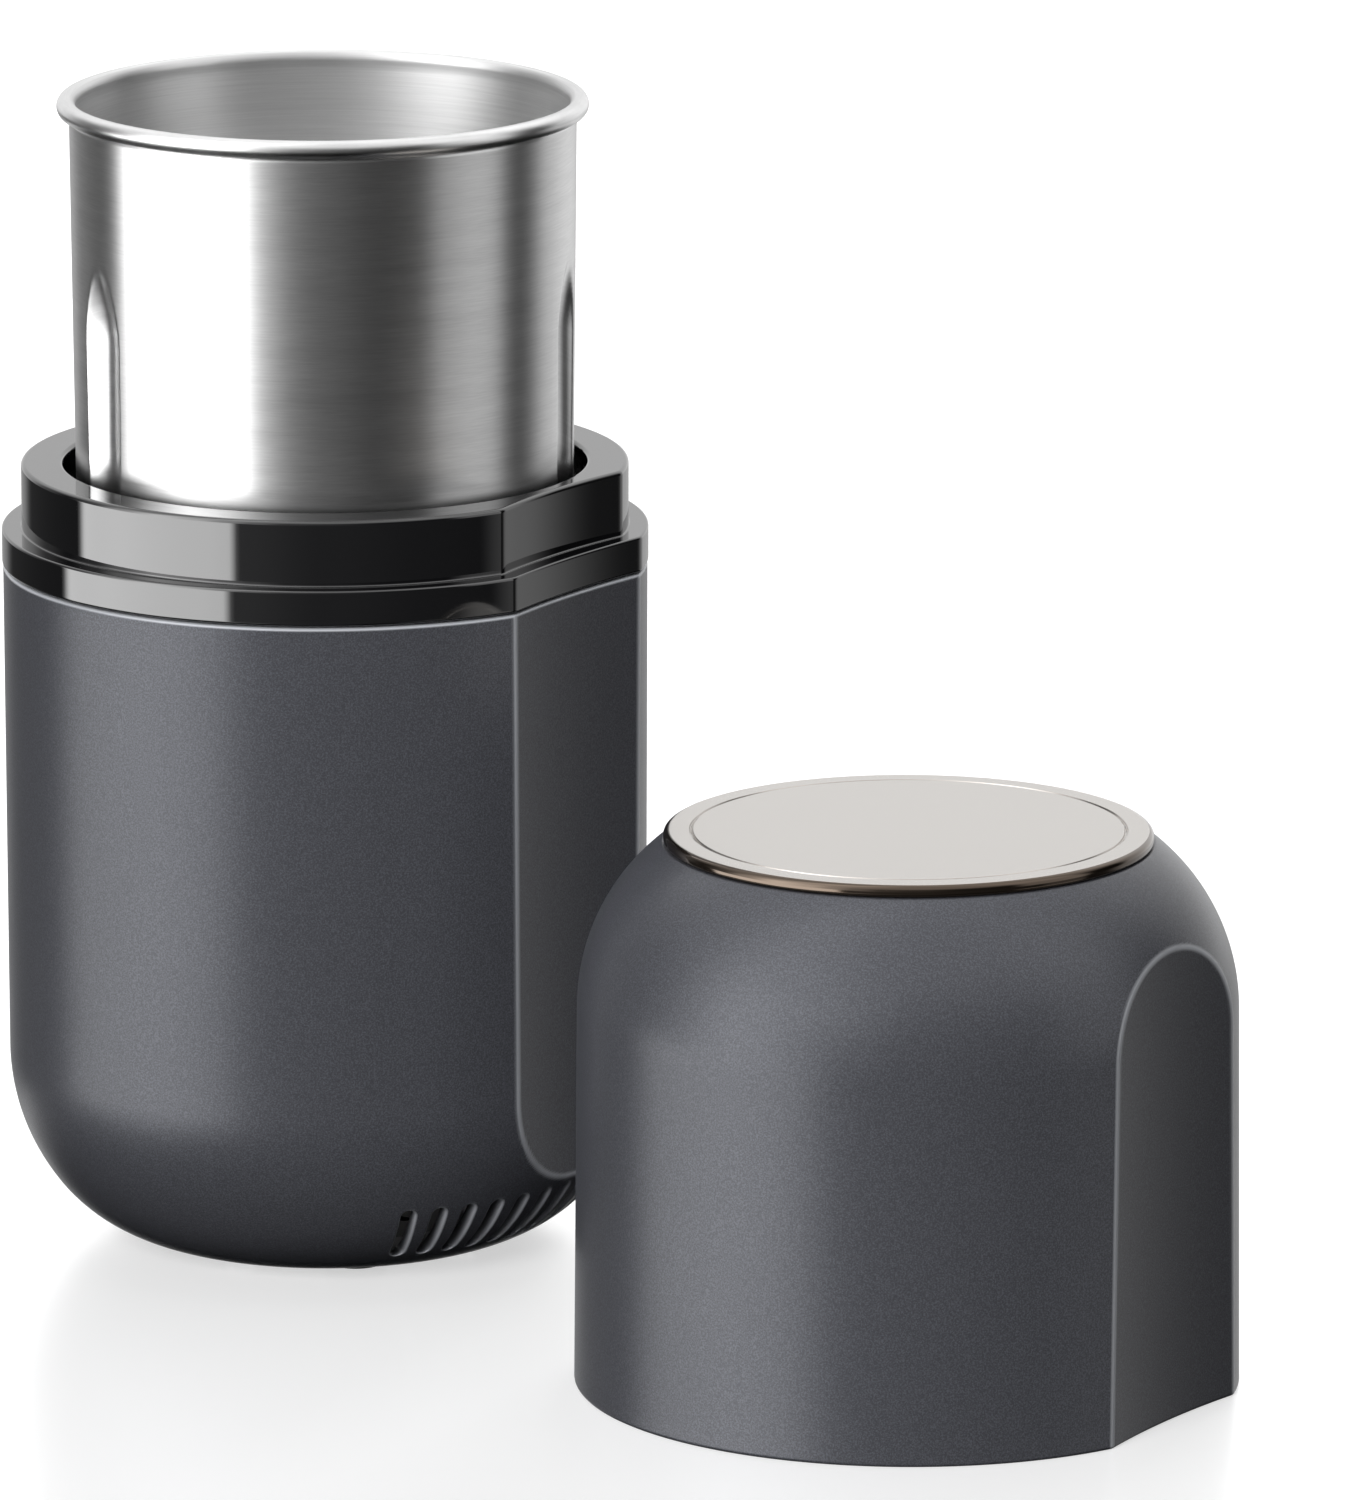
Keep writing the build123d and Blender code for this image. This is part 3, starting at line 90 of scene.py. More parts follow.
CUP_TOP, CUP_FLOOR, CUP_WALL, CUP_CORNER, CUP_HOLE = 173.5, 102.5, 0.8, 7.0, 7.7
CUP_RADIUS, CUP_DRAFT = 37.7, math.radians(0.6)
BEAD_RADIUS, BEAD_CIRCLE = 1.4, 38.1
FLUTE_RADIUS, FLUTE_DEPTH, FLUTE_FULL, FLUTE_TIP = 8.0, 1.8, 139.5, 150.0
FLUTE_ANGLES = np.radians([-118.0, 20.0, 131.0])

LID_X, LID_Y = 118.0, -25.0
LID_RADIUS, LID_STRAIGHT, LID_SHOULDER, LID_CROWN = 48.2, 55.7, 30.4, 35.5
LID_DRAFT, LID_WALL = math.radians(0.5), 2.2
RECESS_RADIUS, RECESS_DEPTH, LEDGE_RADIUS, LEDGE_DEPTH = 32.2, 1.7, 26.0, 3.5
PLATE_RADIUS, PLATE_THICK, PLATE_GROOVE = 35.3, 1.85, 31.3
print(f"base to {FLANGE_TOP} mm, cup to {CUP_TOP} mm, lid {2 * LID_RADIUS} mm across")

# %% [markdown]
# ## From a grid of points to a piece
#
# Each surface below is an array of points, one row per place on its outline and one column per
# angle round its axis. Neighbouring rows and columns make the faces, so no loop ever visits a
# single vertex. The outline runs up the outside and down the inside, which makes every face
# point outwards. A piece may have several such sheets, which are welded where they meet.

# %% Turn grids into a piece
WELD = 1e-7


def around(angle, radius, height, middle=(0.0, 0.0)):
    """Points on the grid at a radius and a height for each angle, about an upright axis."""
    radius, height, angle = np.broadcast_arrays(radius, height, angle)
    x, y = middle[0] + radius * np.cos(angle), middle[1] + radius * np.sin(angle)
    return np.stack([x, y, height], axis=-1)


def grid_faces(rows, columns, close_rows, close_columns):
    """Quads of a grid: each joins a point, its right neighbour, and the two above them."""
    row = np.arange(rows if close_rows else rows - 1)[:, None]
    column = np.arange(columns if close_columns else columns - 1)[None, :]
    right, above = (column + 1) % columns, (row + 1) % rows
    corners = (row * columns + column, row * columns + right,
               above * columns + right, above * columns + column)
    return np.stack(np.broadcast_arrays(*corners), axis=-1).reshape(-1, 4)


def make_mesh(name, sheets):
    """A smooth-shaded mesh of grids in millimetres. Each sheet is a grid, whether its last row
    joins its first, and whether its last column does."""
    points, faces, total = [], [], 0
    for grid, close_rows, close_columns in sheets:
        points.append(grid.reshape(-1, 3))
        faces.append(grid_faces(*grid.shape[:2], close_rows, close_columns) + total)
        total += len(points[-1])
    points, faces = np.concatenate(points), np.concatenate(faces)
    mesh = bpy.data.meshes.new(name)
    mesh.vertices.add(len(points))
    mesh.vertices.foreach_set("co", (points * MM).astype(np.float32).ravel())
    mesh.loops.add(faces.size)
    mesh.loops.foreach_set("vertex_index", faces.astype(np.int32).ravel())
    mesh.polygons.add(len(faces))
    mesh.polygons.foreach_set("loop_start", np.arange(0, faces.size, 4, dtype=np.int32))
    mesh.update(calc_edges=True)
    work = bmesh.new()
    work.from_mesh(mesh)
    bmesh.ops.remove_doubles(work, verts=work.verts, dist=WELD)
    bmesh.ops.dissolve_degenerate(work, edges=work.edges, dist=WELD / 10)
    work.to_mesh(mesh)
    work.free()
    mesh.polygons.foreach_set("use_smooth", np.ones(len(mesh.polygons), bool))
    return mesh


def in_scene(name, data):
    """An object in the scene that shows a mesh, a lamp or a camera."""
    thing = bpy.data.objects.new(name, data)
    bpy.context.scene.collection.objects.link(thing)
    return thing


def add_piece(name, sheets, body, slot, *replaced):
    """An object with such a mesh, which rides on its body and stands for the solids it replaces."""
    piece = in_scene(name, make_mesh(name, sheets))
    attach(piece, body)
    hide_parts(*replaced)
    print(f"{name}: {len(piece.data.vertices)} points, {len(piece.data.polygons)} faces")
    return piece


def read_rows(items, label):
    """An array with one row (x, y, z) for each point or face of a mesh."""
    rows = np.empty(len(items) * 3)
    items.foreach_get(label, rows)
    return rows.reshape(-1, 3)


# %% [markdown]
# A moulded part has no truly sharp edge. Its outline is written as a few corners, each with its
# own small radius, and this helper puts an arc in place of every corner. A point just beyond each
# end of the arc keeps the flat beside it flat, as its shading would else bend towards the corner.

# %% Outlines as radius and height pairs
HOLD = 0.12


def pairs(radius, height):
    """One row (radius, height) for each value of either."""
    return np.stack(np.broadcast_arrays(radius, height), axis=1)


def arc(middle_radius, middle_height, radius, angles):
    """An arc in an outline: middle + radius * (cos, sin) of each angle."""
    return pairs(middle_radius + radius * np.cos(angles), middle_height + radius * np.sin(angles))


def stretch(low, high, step):
    """Evenly spaced values from low to high, no further apart than step."""
    return np.linspace(low, high, max(2, int(math.ceil(abs(high - low) / step)) + 1))


def rounded(corners, steps, closed=True):
    """Points of an outline whose corners (r, z, radius) became arcs.

    An arc starts radius / tan(half the angle between the two sides) before its corner and ends
    as far after it."""
    corners = np.array(corners, float)
    count = len(corners)
    points = []
    for index in range(count):
        here, radius = corners[index, :2], corners[index, 2]
        if radius == 0 or (not closed and index in (0, count - 1)):
            points.append(here[None])
            continue
        back = corners[index - 1, :2] - here
        ahead = corners[(index + 1) % count, :2] - here
        back, ahead = back / np.hypot(*back), ahead / np.hypot(*ahead)
        half = 0.5 * math.acos(np.clip(back @ ahead, -1, 1))
        reach = radius / math.tan(half)
        middle = here + (back + ahead) / np.hypot(*(back + ahead)) * radius / math.sin(half)
        start = here + back * reach - middle
        finish = here + ahead * reach - middle
        side = np.sign(start[0] * finish[1] - start[1] * finish[0]) * (math.pi - 2 * half)
        angle = np.linspace(0, side, steps + 1)[:, None]
        across = np.array([-start[1], start[0]])
        points.append((here + back * (reach + HOLD))[None])
        points.append(middle + start * np.cos(angle) + across * np.sin(angle))
        points.append((here + ahead * (reach + HOLD))[None])
    return np.concatenate(points)


# %% [markdown]
# Two holes cross the grids at an angle: the cord's inlet through the shell, and the little bore the
# lid switch's plunger slides in. A Boolean suits such a lone round hole. It is taken off again at
# once, so that the piece is left with a plain mesh.

# %% Drill a hole
CREASE = math.radians(50)


def pin(outline, sides):
    """A round pin about the upright axis, from radius and height pairs that start and end on it."""
    outline = np.array(outline, float)
    turn = np.linspace(0, TURN, sides, endpoint=False)
    return around(turn, outline[:, :1], outline[:, 1:])


def drill(piece, cut_away):
    """Cuts such a pin out of a piece, and leaves the hole's rims sharp."""
    cutter = in_scene("cutter", make_mesh("cutter", [(cut_away, False, True)]))
    cut = piece.modifiers.new("drill", "BOOLEAN")
    cut.operation, cut.solver, cut.object = "DIFFERENCE", "EXACT", cutter
    drilled = piece.evaluated_get(bpy.context.evaluated_depsgraph_get())
    mesh = bpy.data.meshes.new_from_object(drilled)
    piece.modifiers.clear()
    before, piece.data = piece.data, mesh
    print(f"{piece.name}: drilled, {len(before.polygons)} faces became {len(mesh.polygons)}")
    mesh.set_sharp_from_angle(angle=CREASE)
    bpy.data.meshes.remove(before)
    mesh.name = piece.name
    bpy.data.objects.remove(cutter)


# %% [markdown]
# ## The thumb grip
#
# The lid, the collar and the base share one hollow down their side: a shallow cylinder that
# stands upright and bites into their round walls. Seen from above, its distance from the axis at
# an angle is a closed formula. Where it meets the round wall the real edge is softened, and a
# soft minimum does that: it follows whichever of two distances is smaller and blends them where
# they are nearly equal.

# %% The hollow and the soft minimum
FAR_AWAY = 1e3


def soft_min(a, b, blend):
    """The smaller of two values, lowered by (blend - gap)^2 / (4 blend) where their gap is less
    than blend."""
    return np.minimum(a, b) - np.maximum(blend - np.abs(a - b), 0) ** 2 / (4 * blend)


def near_side(angle, away, radius):
    """Distance from the axis to the near side of a circle whose middle lies away from it:
    away cos(angle) - sqrt(radius^2 - away^2 sin^2(angle)), and far away where they don't meet."""
    inside = radius ** 2 - (away * np.sin(angle)) ** 2
    met = (np.cos(angle) > 0) & (inside > 0) & (radius > 0)
    return np.where(met, away * np.cos(angle) - np.sqrt(np.maximum(inside, 0)), FAR_AWAY)


def grip_distance(angle, inset=0.0):
    """Distance from the axis to the hollow, or to the same hollow sunk by a wall's thickness."""
    return near_side(angle, GRIP_FACE + GRIP_HOLLOW, GRIP_HOLLOW + inset)


# %% [markdown]
# The edge of the grip catches a thin bright line, and only if the mesh follows it. So the columns
# are set along it: the angle of the edge at each height is worked out from the two radii, and a
# column's angle is stretched so that the dense columns always lie on the edge.

# %% Columns that follow the edge
EDGE_SHARE, EDGE_LEAST = math.radians(22.75), math.radians(4.0)
EDGE_DRAW, EDGE_REACH = 0.8, math.radians(3.5)
FINE_HALF, FINE_STEP, COARSE_STEP = 39, 0.65, 1.7


def edge_angle(radius, step=0.0):
    """Angle from the grip's middle to its edge on a round wall, arccos((R^2 + c^2 - h^2) / (2Rc)).
    A step moves the hollow inwards, as it is on the collar's ring."""
    away = GRIP_FACE - step + GRIP_HOLLOW
    cosine = (radius ** 2 + away ** 2 - GRIP_HOLLOW ** 2) / (2 * radius * away)
    return np.maximum(np.arccos(np.clip(cosine, -1, 1)), EDGE_LEAST)


def follow_edge(angle, radius, amount=1.0, step=0.0):
    """Angles moved so that the column at EDGE_SHARE lies on the grip's edge, with its neighbours
    drawn close: t becomes t * (1 - draw * exp(-(t / reach)^2)), t being the distance from it."""
    angle = (angle + np.pi) % TURN - np.pi
    edge = edge_angle(radius, step)
    apart = np.abs(angle) - EDGE_SHARE
    apart = apart * (1 - EDGE_DRAW * np.exp(-(apart / EDGE_REACH) ** 2))
    inside = (EDGE_SHARE + apart) * edge / EDGE_SHARE
    outside = edge + apart * (np.pi - edge) / (np.pi - EDGE_SHARE)
    moved = np.sign(angle) * np.where(apart < 0, inside, outside)
    return angle + amount * (moved - angle)


fine_end = math.radians(FINE_HALF)
fine_count = 2 * round(FINE_HALF / FINE_STEP)
coarse_count = round((360 - 2 * FINE_HALF) / COARSE_STEP)
grip_angles = np.concatenate([
    np.linspace(-fine_end, fine_end, fine_count, endpoint=False),
    np.linspace(fine_end, TURN - fine_end, coarse_count, endpoint=False)])[None, :]
print(f"{fine_count} columns over the grip, {coarse_count} round the rest")

# %% [markdown]
# ## The base shell
#
# The wall leans in by a fraction of a degree and then rolls under in two arcs, a large one at the
# shoulder and a tighter one at the toe. Both arcs are solved for the radius at a height, so that
# the same function serves the outside, the inside and the rims of the vents.

# %% The shell's radius at a height
side_foot = SHELL_RADIUS - (SHELL_TOP - SHOULDER_TOP) * math.tan(SHELL_DRAFT)
shoulder_r = side_foot - SHOULDER_RADIUS * math.cos(SHELL_DRAFT)
shoulder_z = SHOULDER_TOP + SHOULDER_RADIUS * math.sin(SHELL_DRAFT)
toe_r = shoulder_r + (SHOULDER_RADIUS - TOE_RADIUS) * math.cos(SHOULDER_TURN)
toe_z = shoulder_z - (SHOULDER_RADIUS - TOE_RADIUS) * math.sin(SHOULDER_TURN)
print(f"shoulder arc about ({shoulder_r:.2f}, {shoulder_z:.2f}), toe arc about "
      f"({toe_r:.2f}, {toe_z:.2f})")


def shell_radius(height, inset=0.0):
    """Straight wall above the shoulder; below it centre + sqrt(arc radius^2 - drop^2), first for
    the shoulder's arc and then for the toe's."""
    wall = side_foot + (height - SHOULDER_TOP) * math.tan(SHELL_DRAFT) - inset
    drop = np.maximum((SHOULDER_RADIUS - inset) ** 2 - (shoulder_z - height) ** 2, 0)
    toe = np.maximum((TOE_RADIUS - inset) ** 2 - (toe_z - height) ** 2, 0)
    change = shoulder_z - (SHOULDER_RADIUS - inset) * math.sin(SHOULDER_TURN)
    curved = np.where(height < change, toe_r + np.sqrt(toe), shoulder_r + np.sqrt(drop))
    return np.where(height > shoulder_z, wall, curved)


def shell_wall(angle, height, inset=0.0):
    """The round wall's radius, soft-minimised with the grip's hollow."""
    return soft_min(shell_radius(height, inset), grip_distance(angle, inset), GRIP_EDGE)


# %% [markdown]
# The vents are forty-one upright slots round the sides and the back. A mesh with real holes could
# be cut with a Boolean, but its faces come out ragged and catch the light. Here each slot gets its
# own small patch instead: rings of points that start as the patch's square border and end as the
# slot's round-ended outline, then pass through the wall and open out again on the inside. The
# patches and the plain wall share their border points and are welded into one skin.

# %% Columns and vent patches
CELL_COLUMNS, CELL_ROWS, PLAIN_CELLS = 10, 18, 14
VENT_BAND = (3.7, 14.1)
VENT_MIDDLE, VENT_HALF = (VENT_BOTTOM + VENT_TOP) / 2, VENT_WIDTH / 2
VENT_STRAIGHT = (VENT_TOP - VENT_BOTTOM) / 2 - VENT_HALF
VENT_RINGS = [(1.0, 0.0, 0.0), (0.6, 0.0, 0.0), (0.25, 0.0, 0.0), (0.0, 0.32, 0.0),
              (0.0, 0.12, 0.08), (0.0, 0.0, 0.32), (0.0, 0.0, SHELL_WALL),
              (0.5, 0.0, SHELL_WALL), (1.0, 0.0, SHELL_WALL)]
vent_pitch = math.radians((360 - 2 * VENT_FIRST) / (VENT_COUNT - 1))
vent_centres = math.radians(VENT_FIRST - 90) + vent_pitch * np.arange(VENT_COUNT)
vent_start, vent_end = vent_centres[0] - vent_pitch / 2, vent_centres[-1] + vent_pitch / 2
vented = np.linspace(vent_start, vent_end, VENT_COUNT * CELL_COLUMNS + 1)
plain = np.linspace(vent_end, vent_start + TURN, PLAIN_CELLS * CELL_COLUMNS + 1)
shell_angles = np.concatenate([vented[:-1], plain[:-1]])[None, :]
print(f"{VENT_COUNT} vents, {math.degrees(vent_pitch):.1f} degrees apart")


def slot_outline(grow):
    """Offsets across and up from a slot's middle, anticlockwise from its lower right, one for each
    border point of its cell. The straight sides join two half circles of the slot's half width."""
    count = 2 * (CELL_COLUMNS + CELL_ROWS)
    length = 4 * VENT_STRAIGHT + TURN * VENT_HALF
    walked = ((np.arange(count) - CELL_COLUMNS / 2) / count * length) % length
    quarter, side = math.pi * VENT_HALF / 2, 2 * VENT_STRAIGHT
    ends = np.array([0, quarter, quarter + side, 3 * quarter + side, 3 * quarter + 2 * side])
    leg = np.searchsorted(ends, walked, side="right") - 1
    past = walked - ends[leg]
    turn = np.choose(leg, [past / VENT_HALF - math.pi / 2, 0.0, past / VENT_HALF, math.pi,
                           past / VENT_HALF + math.pi])
    slide = np.choose(leg, [-VENT_STRAIGHT, past - VENT_STRAIGHT, VENT_STRAIGHT,
                            VENT_STRAIGHT - past, -VENT_STRAIGHT])
    radius = VENT_HALF + grow
    return radius * np.cos(turn), slide + radius * np.sin(turn)


def cell_border():
    """The cell's border in the order of the slot's outline: along the bottom, up the right side,
    back along the top and down the left. Values are angles from the slot's middle, and heights."""
    u, v = np.linspace(-0.5, 0.5, CELL_COLUMNS + 1), np.linspace(*VENT_BAND, CELL_ROWS + 1)
    right, bottom = np.full(CELL_ROWS, u[-1]), np.full(CELL_COLUMNS, v[0])
    left, top = np.full(CELL_ROWS, u[0]), np.full(CELL_COLUMNS, v[-1])
    across = np.concatenate([u[:-1], right, u[:0:-1], left])
    return across * vent_pitch, np.concatenate([bottom, v[:-1], top, v[:0:-1]])


def vent_skin():
    """Points (slot, ring, border point) of every patch: from the border to the slot's edge on the
    outside, through the wall, and from the slot's edge to the border on the inside.

    A ring is a share of the border and the rest of the slot's outline, which may be grown, and it
    may be sunk into the wall to round the slot's rim."""
    border_across, border_up = cell_border()
    cells = []
    for share, grow, sunk in VENT_RINGS:
        across, up = slot_outline(grow)
        height = share * border_up + (1 - share) * (VENT_MIDDLE + up)
        inset = SHELL_WALL if sunk == SHELL_WALL else 0.0
        slot_across = np.arcsin(across / shell_radius(VENT_MIDDLE + up, inset))
        angle = share * border_across + (1 - share) * slot_across + vent_centres[:, None]
        cells.append(around(angle, shell_wall(angle, height, inset) - (sunk - inset), height))
    return np.stack(cells, axis=1)


# %% [markdown]
# The rest of the shell is two outlines carried round. One runs from the inside's floor through
# the cover's opening and up the toe, the other up the wall, over the rim and down the inside. The
# band between them is closed by the patches and, at the front, by plain strips. Just above the
# band the columns still stand where the patches need them, and they come over to the grip's edge
# by the shoulder.

# %% Build the base shell
RIM_ROUND, FLOOR_RADIUS, SETTLE = 0.5, 28.0, 10


def settled(height):
    """Columns that come over from the patches to the grip's edge as 3 rise^2 - 2 rise^3."""
    rise = np.clip((height - VENT_BAND[1]) / SETTLE, 0, 1)
    return follow_edge(shell_angles, shell_radius(height), rise * rise * (3 - 2 * rise))


def toe_sheet():
    """From the inside's floor round the cover's opening and up the toe."""
    low, opening = VENT_BAND[0], COVER_RADIUS + COVER_GAP
    ledge, seat = COVER_RADIUS - COVER_LEDGE, UNDERSIDE + COVER_DEPTH
    floor = np.array([(FLOOR_RADIUS, low), (ledge, low), (ledge, seat), (opening, seat),
                      (opening, UNDERSIDE), (opening + 0.3, UNDERSIDE)])
    toe = UNDERSIDE + (low - UNDERSIDE) * np.linspace(0, 1, 9)[:, None] ** 1.6
    return np.concatenate([around(shell_angles, shell_wall(shell_angles, low, SHELL_WALL), low),
                           around(shell_angles, floor[:, :1], floor[:, 1:]),
                           around(shell_angles, shell_wall(shell_angles, toe), toe)])


def wall_sheet():
    """Up the wall, over its rounded rim and down the inside."""
    high, rim = VENT_BAND[1], SHELL_TOP - RIM_ROUND
    up = np.concatenate([stretch(high, 22, 0.3), stretch(22, SHOULDER_TOP, 0.8)[1:],
                         stretch(SHOULDER_TOP, rim - HOLD, 2.4)[1:], [rim]])[:, None]
    down = np.concatenate([[SHELL_TOP], stretch(SHELL_TOP - 1, high, 3.0)])[:, None]
    outer, inner = settled(up), settled(down)
    turn = np.radians(np.linspace(15, 90, 6))[:, None]
    rim_radius = shell_wall(outer[-1:], rim) - RIM_ROUND + RIM_ROUND * np.cos(turn)
    return np.concatenate([around(outer, shell_wall(outer, up), up),
                           around(outer[-1:], rim_radius, rim + RIM_ROUND * np.sin(turn)),
                           around(inner, shell_wall(inner, down, SHELL_WALL), down)])


def front_strip(inset):
    """The plain wall of the vents' band, on the outside or on the inside."""
    front, band = plain[None, :], np.linspace(*VENT_BAND, CELL_ROWS + 1)[:, None]
    return around(front, shell_wall(front, band, inset), band)


shell_sheets = [(toe_sheet(), False, True), (wall_sheet(), False, True),
                (front_strip(0.0), False, False), (front_strip(SHELL_WALL)[::-1], False, False)]
shell_sheets += [(cell, False, True) for cell in vent_skin()]
housing = add_piece("housing", shell_sheets, "base", "shell_paint", "body_shell")

# %% [markdown]
# The mains cord enters low in the back, through a rubber gland. Its bore goes straight through the
# shell and is wider at the outside, where the gland's collar sits. The pin is laid down to point
# to the back: its height becomes y, and its old y hangs below the inlet's height.

# %% Drill the cord's inlet
INLET_HEIGHT, INLET_BORE, INLET_SEAT, INLET_FACE = 24.0, 5.05, 7.3, 46.2
INLET_START, INLET_END = 38, 52

inlet_pin = pin([(0, INLET_START), (INLET_BORE, INLET_START), (INLET_BORE, INLET_FACE),
                 (INLET_SEAT, INLET_FACE), (INLET_SEAT, INLET_END), (0, INLET_END)], 48)
x, y, z = np.moveaxis(inlet_pin, -1, 0)
drill(housing, np.stack([x, z, INLET_HEIGHT - y], axis=-1))

# %% [markdown]
# The rim of the grip gets a painted highlight, a paler colour all the way round, and so do the
# rims of the vents and the shell's top rim. The mesh carries that as a number at each point: 1
# where the wall and the hollow are equally far out, falling to 0 a few tenths of a millimetre to
# either side. The paint reads it by name.

# %% Mark the painted edge highlights on a mesh
# The second value is the strength of the painted highlight on the vents' rims.
EDGE_LINE, VENT_HIGHLIGHT, RIM_DEPTH = 0.2, 0.7, 0.6


def vent_highlight(angle, radius, height):
    """Painted highlight on vent rims: 1.3 - |distance to the nearest slot's outline| / width, 0 to
    1, times its strength, for the points that lie less than RIM_DEPTH inside the wall's outside."""
    turn = (angle - vent_start) % TURN
    across = radius * np.sin(turn % vent_pitch - vent_pitch / 2)
    up = np.maximum(np.abs(height - VENT_MIDDLE) - VENT_STRAIGHT, 0)
    outline = np.hypot(across, up) - VENT_HALF
    near = (turn < vent_end - vent_start) & (shell_radius(height) - radius < RIM_DEPTH)
    return np.clip(1.3 - np.abs(outline) / EDGE_LINE, 0, 1) * near * VENT_HIGHLIGHT


def mark_edge_highlight(piece, wall_radius, middle=(0.0, 0.0), rim=None):
    """Adds the point attribute of the painted highlight: 1.5 - |wall's radius - hollow's distance|
    / width, from 0 to 1. A piece with a rim is 1 above its height too, and has the vents."""
    x, y, z = read_rows(piece.data.vertices, "co").T / MM
    angle = np.arctan2(y - middle[1], x - middle[0])
    gap = wall_radius(z) - grip_distance(angle)
    edge = np.clip(1.5 - np.abs(gap) / EDGE_LINE, 0, 1)
    if rim is not None:
        above = np.clip((z - rim) / EDGE_LINE + 1, 0, 1)
        edge = np.maximum.reduce([edge, above, vent_highlight(angle, np.hypot(x, y), z)])
    values = piece.data.attributes.new("edge_highlight", "FLOAT", "POINT").data
    values.foreach_set("value", edge.astype(np.float32))
    print(f"{piece.name}: {int((edge > 0.5).sum())} points on its marked edges")


# Painted highlight on the grip's rim, the vents' rims and the shell's top rim.
mark_edge_highlight(housing, shell_radius, rim=SHELL_TOP - RIM_ROUND / 2)

# %% [markdown]
# ## The collar
#
# Piano-black plastic: a flange that fills the seam between base and lid, and a raised ring that
# the lid slides over. Both carry the grip. Its outline is one closed loop, and each point says
# how far it lies inside the grip's outline, so that the small roundings follow the hollow too.

# %% Build the collar
COLLAR_STEP = FLANGE_RADIUS - RING_RADIUS
SKIRT_GRIP, SKIRT_BLEND, NEAR = 2.6, 0.6, 0.1


def collar_piece():
    """Radius = soft minimum of circle and grip, less a point's own inset; the bore stays round."""
    foot, blend = FLANGE_BOTTOM - SKIRT_DEPTH, GRIP_EDGE * 2
    loop = rounded([(SKIRT_RADIUS, FLANGE_BOTTOM, 0), (FLANGE_RADIUS, FLANGE_BOTTOM, 0.35),
                    (FLANGE_RADIUS, FLANGE_TOP, 0.35), (RING_RADIUS, FLANGE_TOP, 0.25),
                    (RING_RADIUS, RING_TOP, 0.6), (WELL_BORE, RING_TOP, 0.6),
                    (WELL_BORE, foot, 0), (SKIRT_RADIUS, foot, 0)], steps=6)
    radius, height = loop[:, :1], loop[:, 1:]
    wide, outside = radius > RING_RADIUS + 0.4, radius > WELL_BORE + 1.0
    angle = follow_edge(grip_angles, np.where(wide, FLANGE_RADIUS, RING_RADIUS),
                        step=np.where(wide, 0.0, COLLAR_STEP))
    grip, skirt_wall = grip_distance(angle), SKIRT_RADIUS + 1
    flange = soft_min(FLANGE_RADIUS, grip, blend) - (FLANGE_RADIUS - radius)
    ring = soft_min(RING_RADIUS, grip - COLLAR_STEP, blend) - (RING_RADIUS - radius)
    skirt = radius + soft_min(skirt_wall, grip - SKIRT_GRIP, SKIRT_BLEND) - skirt_wall
    placed = np.select([wide & (height > FLANGE_BOTTOM - NEAR),
                        outside & (height > FLANGE_TOP - NEAR),
                        outside & (height < FLANGE_BOTTOM + NEAR / 2)],
                       [flange, ring, skirt], radius)
    return add_piece("collar_gloss", [(around(angle, placed, height), True, True)],
                     "base", "collar_gloss", "collar")


collar_ring = collar_piece()

# %% [markdown]
# At the back of the ring the lid presses a slim pin, the plunger, which starts the motor. Its bore
# runs up through the ring, and a wider pocket below it takes the plunger's own collar.

# %% Drill the plunger's bore
PLUNGER_CIRCLE, PLUNGER_BORE, PLUNGER_POCKET, POCKET_TOP = 43.3, 1.2, 1.8, 105.05
BORE_START, BORE_END = 97, RING_TOP + 1

plunger_pin = pin([(0, BORE_START), (PLUNGER_POCKET, BORE_START), (PLUNGER_POCKET, POCKET_TOP),
                   (PLUNGER_BORE, POCKET_TOP), (PLUNGER_BORE, BORE_END), (0, BORE_END)], 32)
drill(collar_ring, plunger_pin + (0, PLUNGER_CIRCLE, 0))

# %% [markdown]
# ## The plunger's spring
#
# A spring of thin wire lifts the plunger. It has to shorten as the plunger goes in, and one solid
# mesh that rides on the base can't. So it is drawn again as a coil, as long as the solid it
# replaces.

# %% Build the spring
WIRE_RADIUS, COIL_RADIUS, COIL_TURNS, PLUNGER_TRAVEL = 0.18, 1.4, 5, 2.0


def spring_piece(foot, length):
    """A tube of radius w along a helix: R + w cos s outwards, and w + rise * share - w sin s up.
    At either end the tube shrinks to a point, which closes it."""
    share = np.linspace(0, 1, 24 * COIL_TURNS + 1)
    share = np.concatenate([[0], share, [1]])[:, None]
    thick = np.full_like(share, WIRE_RADIUS)
    thick[[0, -1]] = 0
    section = np.linspace(0, TURN, 12, endpoint=False)[None, :]
    rise = (length - 2 * WIRE_RADIUS) * share
    grid = around(TURN * COIL_TURNS * share, COIL_RADIUS + thick * np.cos(section),
                  foot + WIRE_RADIUS + rise - thick * np.sin(section), (0.0, PLUNGER_CIRCLE))
    return add_piece("lift_spring", [(grid, False, True)], "base", "zinc_steel", "plunger_spring")


low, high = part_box("plunger_spring")
spring_foot, spring_length = low[2] / MM, (high[2] - low[2]) / MM
lift_spring = spring_piece(spring_foot, spring_length)
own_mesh(lift_spring)

# %% [markdown]
# ## The steel cup
#
# A deep-drawn cup: its wall opens by half a degree, its rim is rolled outwards into a bead, and
# three flutes run up from the bottom so that the cup can't turn in its well. A flute is the hollow
# a round rod leaves. The rod thins near its top, and that alone gives the pointed end.

# %% Build the cup
FLUTE_BLEND, FLUTE_SHARE, ROD_FADE = 0.35, 0.2, 2.2


def cup_radius(height, inset=0.0):
    """The tapered wall: radius under the rim less the drop times the draft's tangent."""
    return CUP_RADIUS - (CUP_TOP - height) * math.tan(CUP_DRAFT) - inset


flute_circle = cup_radius(CUP_FLOOR) + FLUTE_RADIUS - FLUTE_DEPTH


